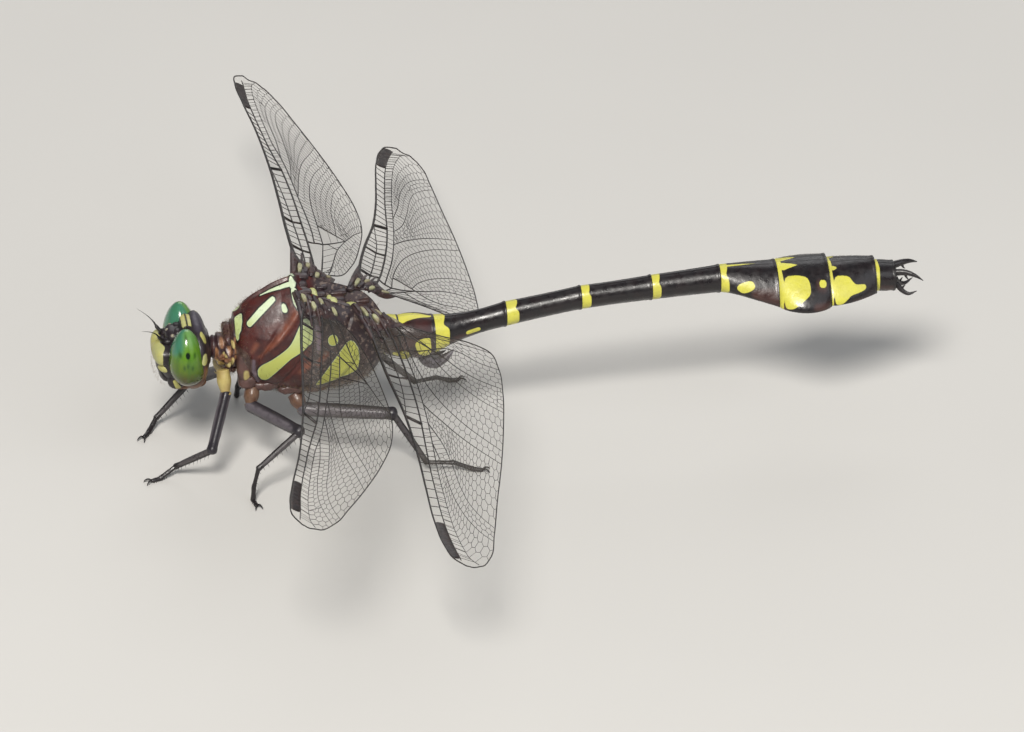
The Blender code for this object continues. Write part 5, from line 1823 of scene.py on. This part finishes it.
class DRAGONFLY_OT_wings(bpy.types.Operator):
    """Film, veins, dark spots and hinges of the four wings"""
    bl_idname = "dragonfly.wings"
    bl_label = "Wings"

    def execute(self, context):
        size = sizes()
        film = film_look("Wing film", (0.42, 0.37, 0.3), size.film_alpha)
        vein = plain_look("Wing vein", (0.006, 0.004, 0.004), (0.016, 0.009, 0.007), 0.42, 0.0, 0.8, 0.004)
        spot = plain_look("Wing spot", (0.008, 0.004, 0.004), (0.02, 0.008, 0.006), 0.42, 0.1, 0.5, 0.02)
        hinge = shared_look("Wing hinge", hinge_look)
        for name in WINGS:
            node = "wing_" + name
            make_piece(node + "_film", wing_film(name, size.film / MM), film, "wing_film", node)
            make_piece(node + "_veins", wing_veins(name, size.vein), vein, "black_shell")
            make_piece(node + "_spot", wing_spot(name), spot, "black_shell")
            make_piece(node + "_hinge", wing_root(name), hinge, "thorax_shell")
        return {"FINISHED"}


class DRAGONFLY_OT_abdomen(bpy.types.Operator):
    """The ten rings of the abdomen, the knobs on the second and the shield beneath"""
    bl_idname = "dragonfly.abdomen"
    bl_label = "Abdomen"

    def execute(self, context):
        look = shared_look("Abdomen shell", abdomen_look)
        for index in range(1, len(ABDOMEN_JOINTS)):
            label = f"abdomen_{index:02d}"
            make_piece(label + "_shell", ring_solid(index), look, "abdomen_shell", label)
        make_piece("ring_knobs", auricle_solid(), look, "abdomen_shell")
        grey = plain_look("Grey shield", (0.11, 0.1, 0.12), (0.045, 0.035, 0.045), 0.4, 0.2)
        make_piece("belly_shield", hamule_solid(), grey, "grey_shell", "hamules")
        return {"FINISHED"}


class DRAGONFLY_OT_claspers(bpy.types.Operator):
    """The claspers at the tail"""
    bl_idname = "dragonfly.claspers"
    bl_label = "Claspers"

    def execute(self, context):
        look = shared_look("Black shell", black_look)
        barb = ((62.0, 0.84, 13.42), (62.15, 0.9, 13.07), (62.3, 0.98, 12.9))
        fork = ((61.75, 0.58, 11.8), (61.9, 0.62, 12.05), (62.05, 0.68, 12.23))
        for name, side in SIDES.items():
            hook = clasper_solid(CERCUS_PATH, CERCUS_RADII, side, barb)
            make_piece("upper_clasper_" + name, hook, look, "black_shell", "cercus_" + name)
        prongs = [clasper_solid(EPIPROCT_PATH, EPIPROCT_RADII, side, fork) for side in SIDES.values()]
        make_piece("lower_clasper", joined(prongs), look, "black_shell", "epiproct")
        make_piece("tail_plates", tail_plug(), look, "black_shell")
        return {"FINISHED"}


class DRAGONFLY_OT_legs(bpy.types.Operator):
    """The six legs: hips, thighs, shins and feet, with their spines and claws"""
    bl_idname = "dragonfly.legs"
    bl_label = "Legs"

    def execute(self, context):
        thigh = limb_look("Thigh shell", (0.016, 0.013, 0.018), shade(colours().bloom, 0.6), 0.4)
        black = shared_look("Black shell", black_look)
        hip_look = shell_look("Hip shell", (0.085, 0.035, 0.024), (0.13, 0.07, 0.04), (
            ("yellow", (0.42, 0.34, 0.12), (0.34, 0.25, 0.09), 0.0, 0.25),), 0.42, 0.12, 0.07)
        spine = sizes().spine_length / MM
        for number, (name, joints) in enumerate(LEGS.items()):
            rng = np.random.default_rng(FIRST_LEG_SEED + number)
            socket, hip, knee, ankle = joints[:4]
            node = "leg_" + name
            thick, thin = THIGH_RADII[name.split("_")[0]]
            hip_piece = coxa_solid(name, socket, hip)
            make_piece(f"hip_{name}", hip_piece, hip_look, "brown_shell", node + "_coxa")
            parts = [limb_solid(hip, knee, thick, thin, 0.18, 0.85),
                     leg_spines(hip, knee, thin, 13, 0.5 * spine, (-0.5, 0.5), rng)]
            make_piece(f"thigh_{name}", joined(parts), thigh, "grey_shell", node + "_femur")
            parts = [limb_solid(knee, ankle, *SHIN_RADII, 0.2, 0.9),
                     leg_spines(knee, ankle, 0.2, 9, spine, (-0.75, 0.75), rng)]
            make_piece(f"shin_{name}", joined(parts), black, "black_shell", node + "_tibia")
            make_piece(f"foot_{name}", foot_solid(joints[3:], rng), black, "black_shell", node + "_tarsus")
        return {"FINISHED"}


class DRAGONFLY_OT_hairs(bpy.types.Operator):
    """Short hairs on the thorax, neck and face"""
    bl_idname = "dragonfly.hairs"
    bl_label = "Hairs"

    def execute(self, context):
        size = sizes()
        look = plain_look("Hair", tuple(colours().hair), (0.12, 0.08, 0.05), 0.5, 0.0, 0.3, 0.002)
        length, width = size.hair_length / MM, size.hair_width / MM
        rng = np.random.default_rng(HAIR_SEED)
        face = lump_grid((-1.55, 0.0, 9.9), (1.5, 2.2, 2.3), 60, 80, 2.4)
        for name, grid, share, count, long, wide, lie in (
                ("thorax", thorax_grid(), thorax_share, 2600, 1.0, 1.0, (0.25, 0.0, -0.15)),
                ("neck", neck_grid(), neck_share, 700, 0.9, 1.0, (-0.15, 0.0, 0.1)),
                ("face", face, face_share, 300, 0.38, 0.7, (-0.2, 0.0, -0.3))):
            solid = hair_solid(grid, share, count, long * length, wide * width, lie, rng)
            make_piece(name + "_hairs", solid, look, "brown_shell")
        return {"FINISHED"}


class DRAGONFLY_OT_stage(bpy.types.Operator):
    """Pale floor, soft lights and the camera"""
    bl_idname = "dragonfly.stage"
    bl_label = "Stage"

    def execute(self, context):
        stage = context.scene.dragonfly_stage
        bpy.ops.mesh.primitive_plane_add(size=6.0)
        floor = context.object
        floor.name = "floor"
        look, tree, shader, place = new_look("Floor", 0.75)
        tint = tuple(stage.floor)
        clouds = ramp(tree, noise(tree, place, 60.0), 0.3, 0.7)
        tree.links.new(mix(tree, clouds, tint, shade(tint, 0.97)), shader.inputs["Base Color"])
        floor.data.materials.append(look)
        right, upward, back = view_axes(stage.azimuth, stage.elevation)
        target = (np.array(HEAD_MIDDLE) + SHIFT) * MM + AIM_RIGHT * right - AIM_DOWN * upward
        add_camera(context, stage, target, right, upward, back)
        for name, way, distance, size, power, colour in (
                ("key_light", (-0.26, -0.72, 0.92), 0.9, 0.27, stage.key_power, (1.0, 0.965, 0.91)),
                ("fill_light", (0.75, -0.7, 0.75), 1.0, 0.9, stage.fill_power, (0.93, 0.96, 1.0)),
                ("back_light", (0.2, 1.0, 0.75), 1.0, 0.7, 0.8 * stage.fill_power, (1.0, 1.0, 1.0))):
            add_light(context, name, way, distance, size, power, colour)
        world = bpy.data.worlds.new("Studio")
        world.use_nodes = True
        background = world.node_tree.nodes["Background"]
        background.inputs["Color"].default_value = (0.93, 0.96, 1.0, 1.0)
        background.inputs["Strength"].default_value = stage.sky
        context.scene.world = world
        context.scene.view_settings.view_transform = "Standard"
        return {"FINISHED"}


def view_axes(azimuth, elevation):
    """Right, up and back of a level camera turned and raised by two angles."""
    back = np.array([sin(azimuth) * cos(elevation), -cos(azimuth) * cos(elevation), sin(elevation)])
    right = np.array([cos(azimuth), sin(azimuth), 0.0])
    return right, np.cross(back, right), back


def standing(right, upward, back, place):
    """The matrix of a thing that looks away from its back, at a place."""
    matrix = Matrix(np.column_stack([right, upward, back]).tolist()).to_4x4()
    matrix.translation = place.tolist()
    return matrix


def add_camera(context, stage, target, right, upward, back):
    """The camera, at its distance from the target, with the lens that gives the set width of view."""
    camera = bpy.data.objects.new("camera", bpy.data.cameras.new("camera"))
    camera.matrix_world = standing(right, upward, back, target + back * stage.distance)
    camera.data.sensor_width = SENSOR_WIDTH
    camera.data.lens = SENSOR_WIDTH * stage.distance / stage.view_width
    camera.data.clip_start = 0.05
    camera.data.clip_end = 20.0
    context.scene.collection.objects.link(camera)
    context.scene.camera = camera


def add_light(context, name, way, distance, size, power, colour):
    """A round light that looks at the middle of the model from the given way."""
    light = bpy.data.lights.new(name, "AREA")
    light.shape = "DISK"
    light.size = size
    light.energy = power
    light.color = colour
    lamp = bpy.data.objects.new(name, light)
    back = unit(np.array(way))
    right = unit(np.cross((0.0, 0.0, 1.0), back))
    lamp.matrix_world = standing(right, np.cross(back, right), back, back * distance)
    context.scene.collection.objects.link(lamp)


OPERATORS = (
    DRAGONFLY_OT_head, DRAGONFLY_OT_eyes, DRAGONFLY_OT_antennae, DRAGONFLY_OT_thorax, DRAGONFLY_OT_wings,
    DRAGONFLY_OT_abdomen, DRAGONFLY_OT_claspers, DRAGONFLY_OT_legs, DRAGONFLY_OT_hairs, DRAGONFLY_OT_stage,
)
GROUPS = {
    "dragonfly_colours": DRAGONFLY_PG_colours,
    "dragonfly_sizes": DRAGONFLY_PG_sizes,
    "dragonfly_stage": DRAGONFLY_PG_stage,
}


class DRAGONFLY_PT_panel(bpy.types.Panel):
    """Lists the steps and their settings in the sidebar"""
    bl_label = "Dragonfly"
    bl_idname = "DRAGONFLY_PT_panel"
    bl_space_type = "VIEW_3D"
    bl_region_type = "UI"
    bl_category = "Dragonfly"

    def draw(self, context):
        for group in GROUPS:
            box = self.layout.box()
            for key in getattr(context.scene, group).__annotations__:
                box.prop(getattr(context.scene, group), key)
        for operator in OPERATORS:
            self.layout.operator(operator.bl_idname)


CLASSES = (*GROUPS.values(), *OPERATORS, DRAGONFLY_PT_panel)


def register():
    for cls in CLASSES:
        bpy.utils.register_class(cls)
    for name, group in GROUPS.items():
        setattr(bpy.types.Scene, name, bpy.props.PointerProperty(type=group))


def unregister():
    for name in GROUPS:
        delattr(bpy.types.Scene, name)
    for cls in reversed(CLASSES):
        bpy.utils.unregister_class(cls)


def main():
    register()
    for operator in OPERATORS:
        getattr(bpy.ops.dragonfly, operator.bl_idname.split(".")[1])()


if __name__ == "__main__":
    main()
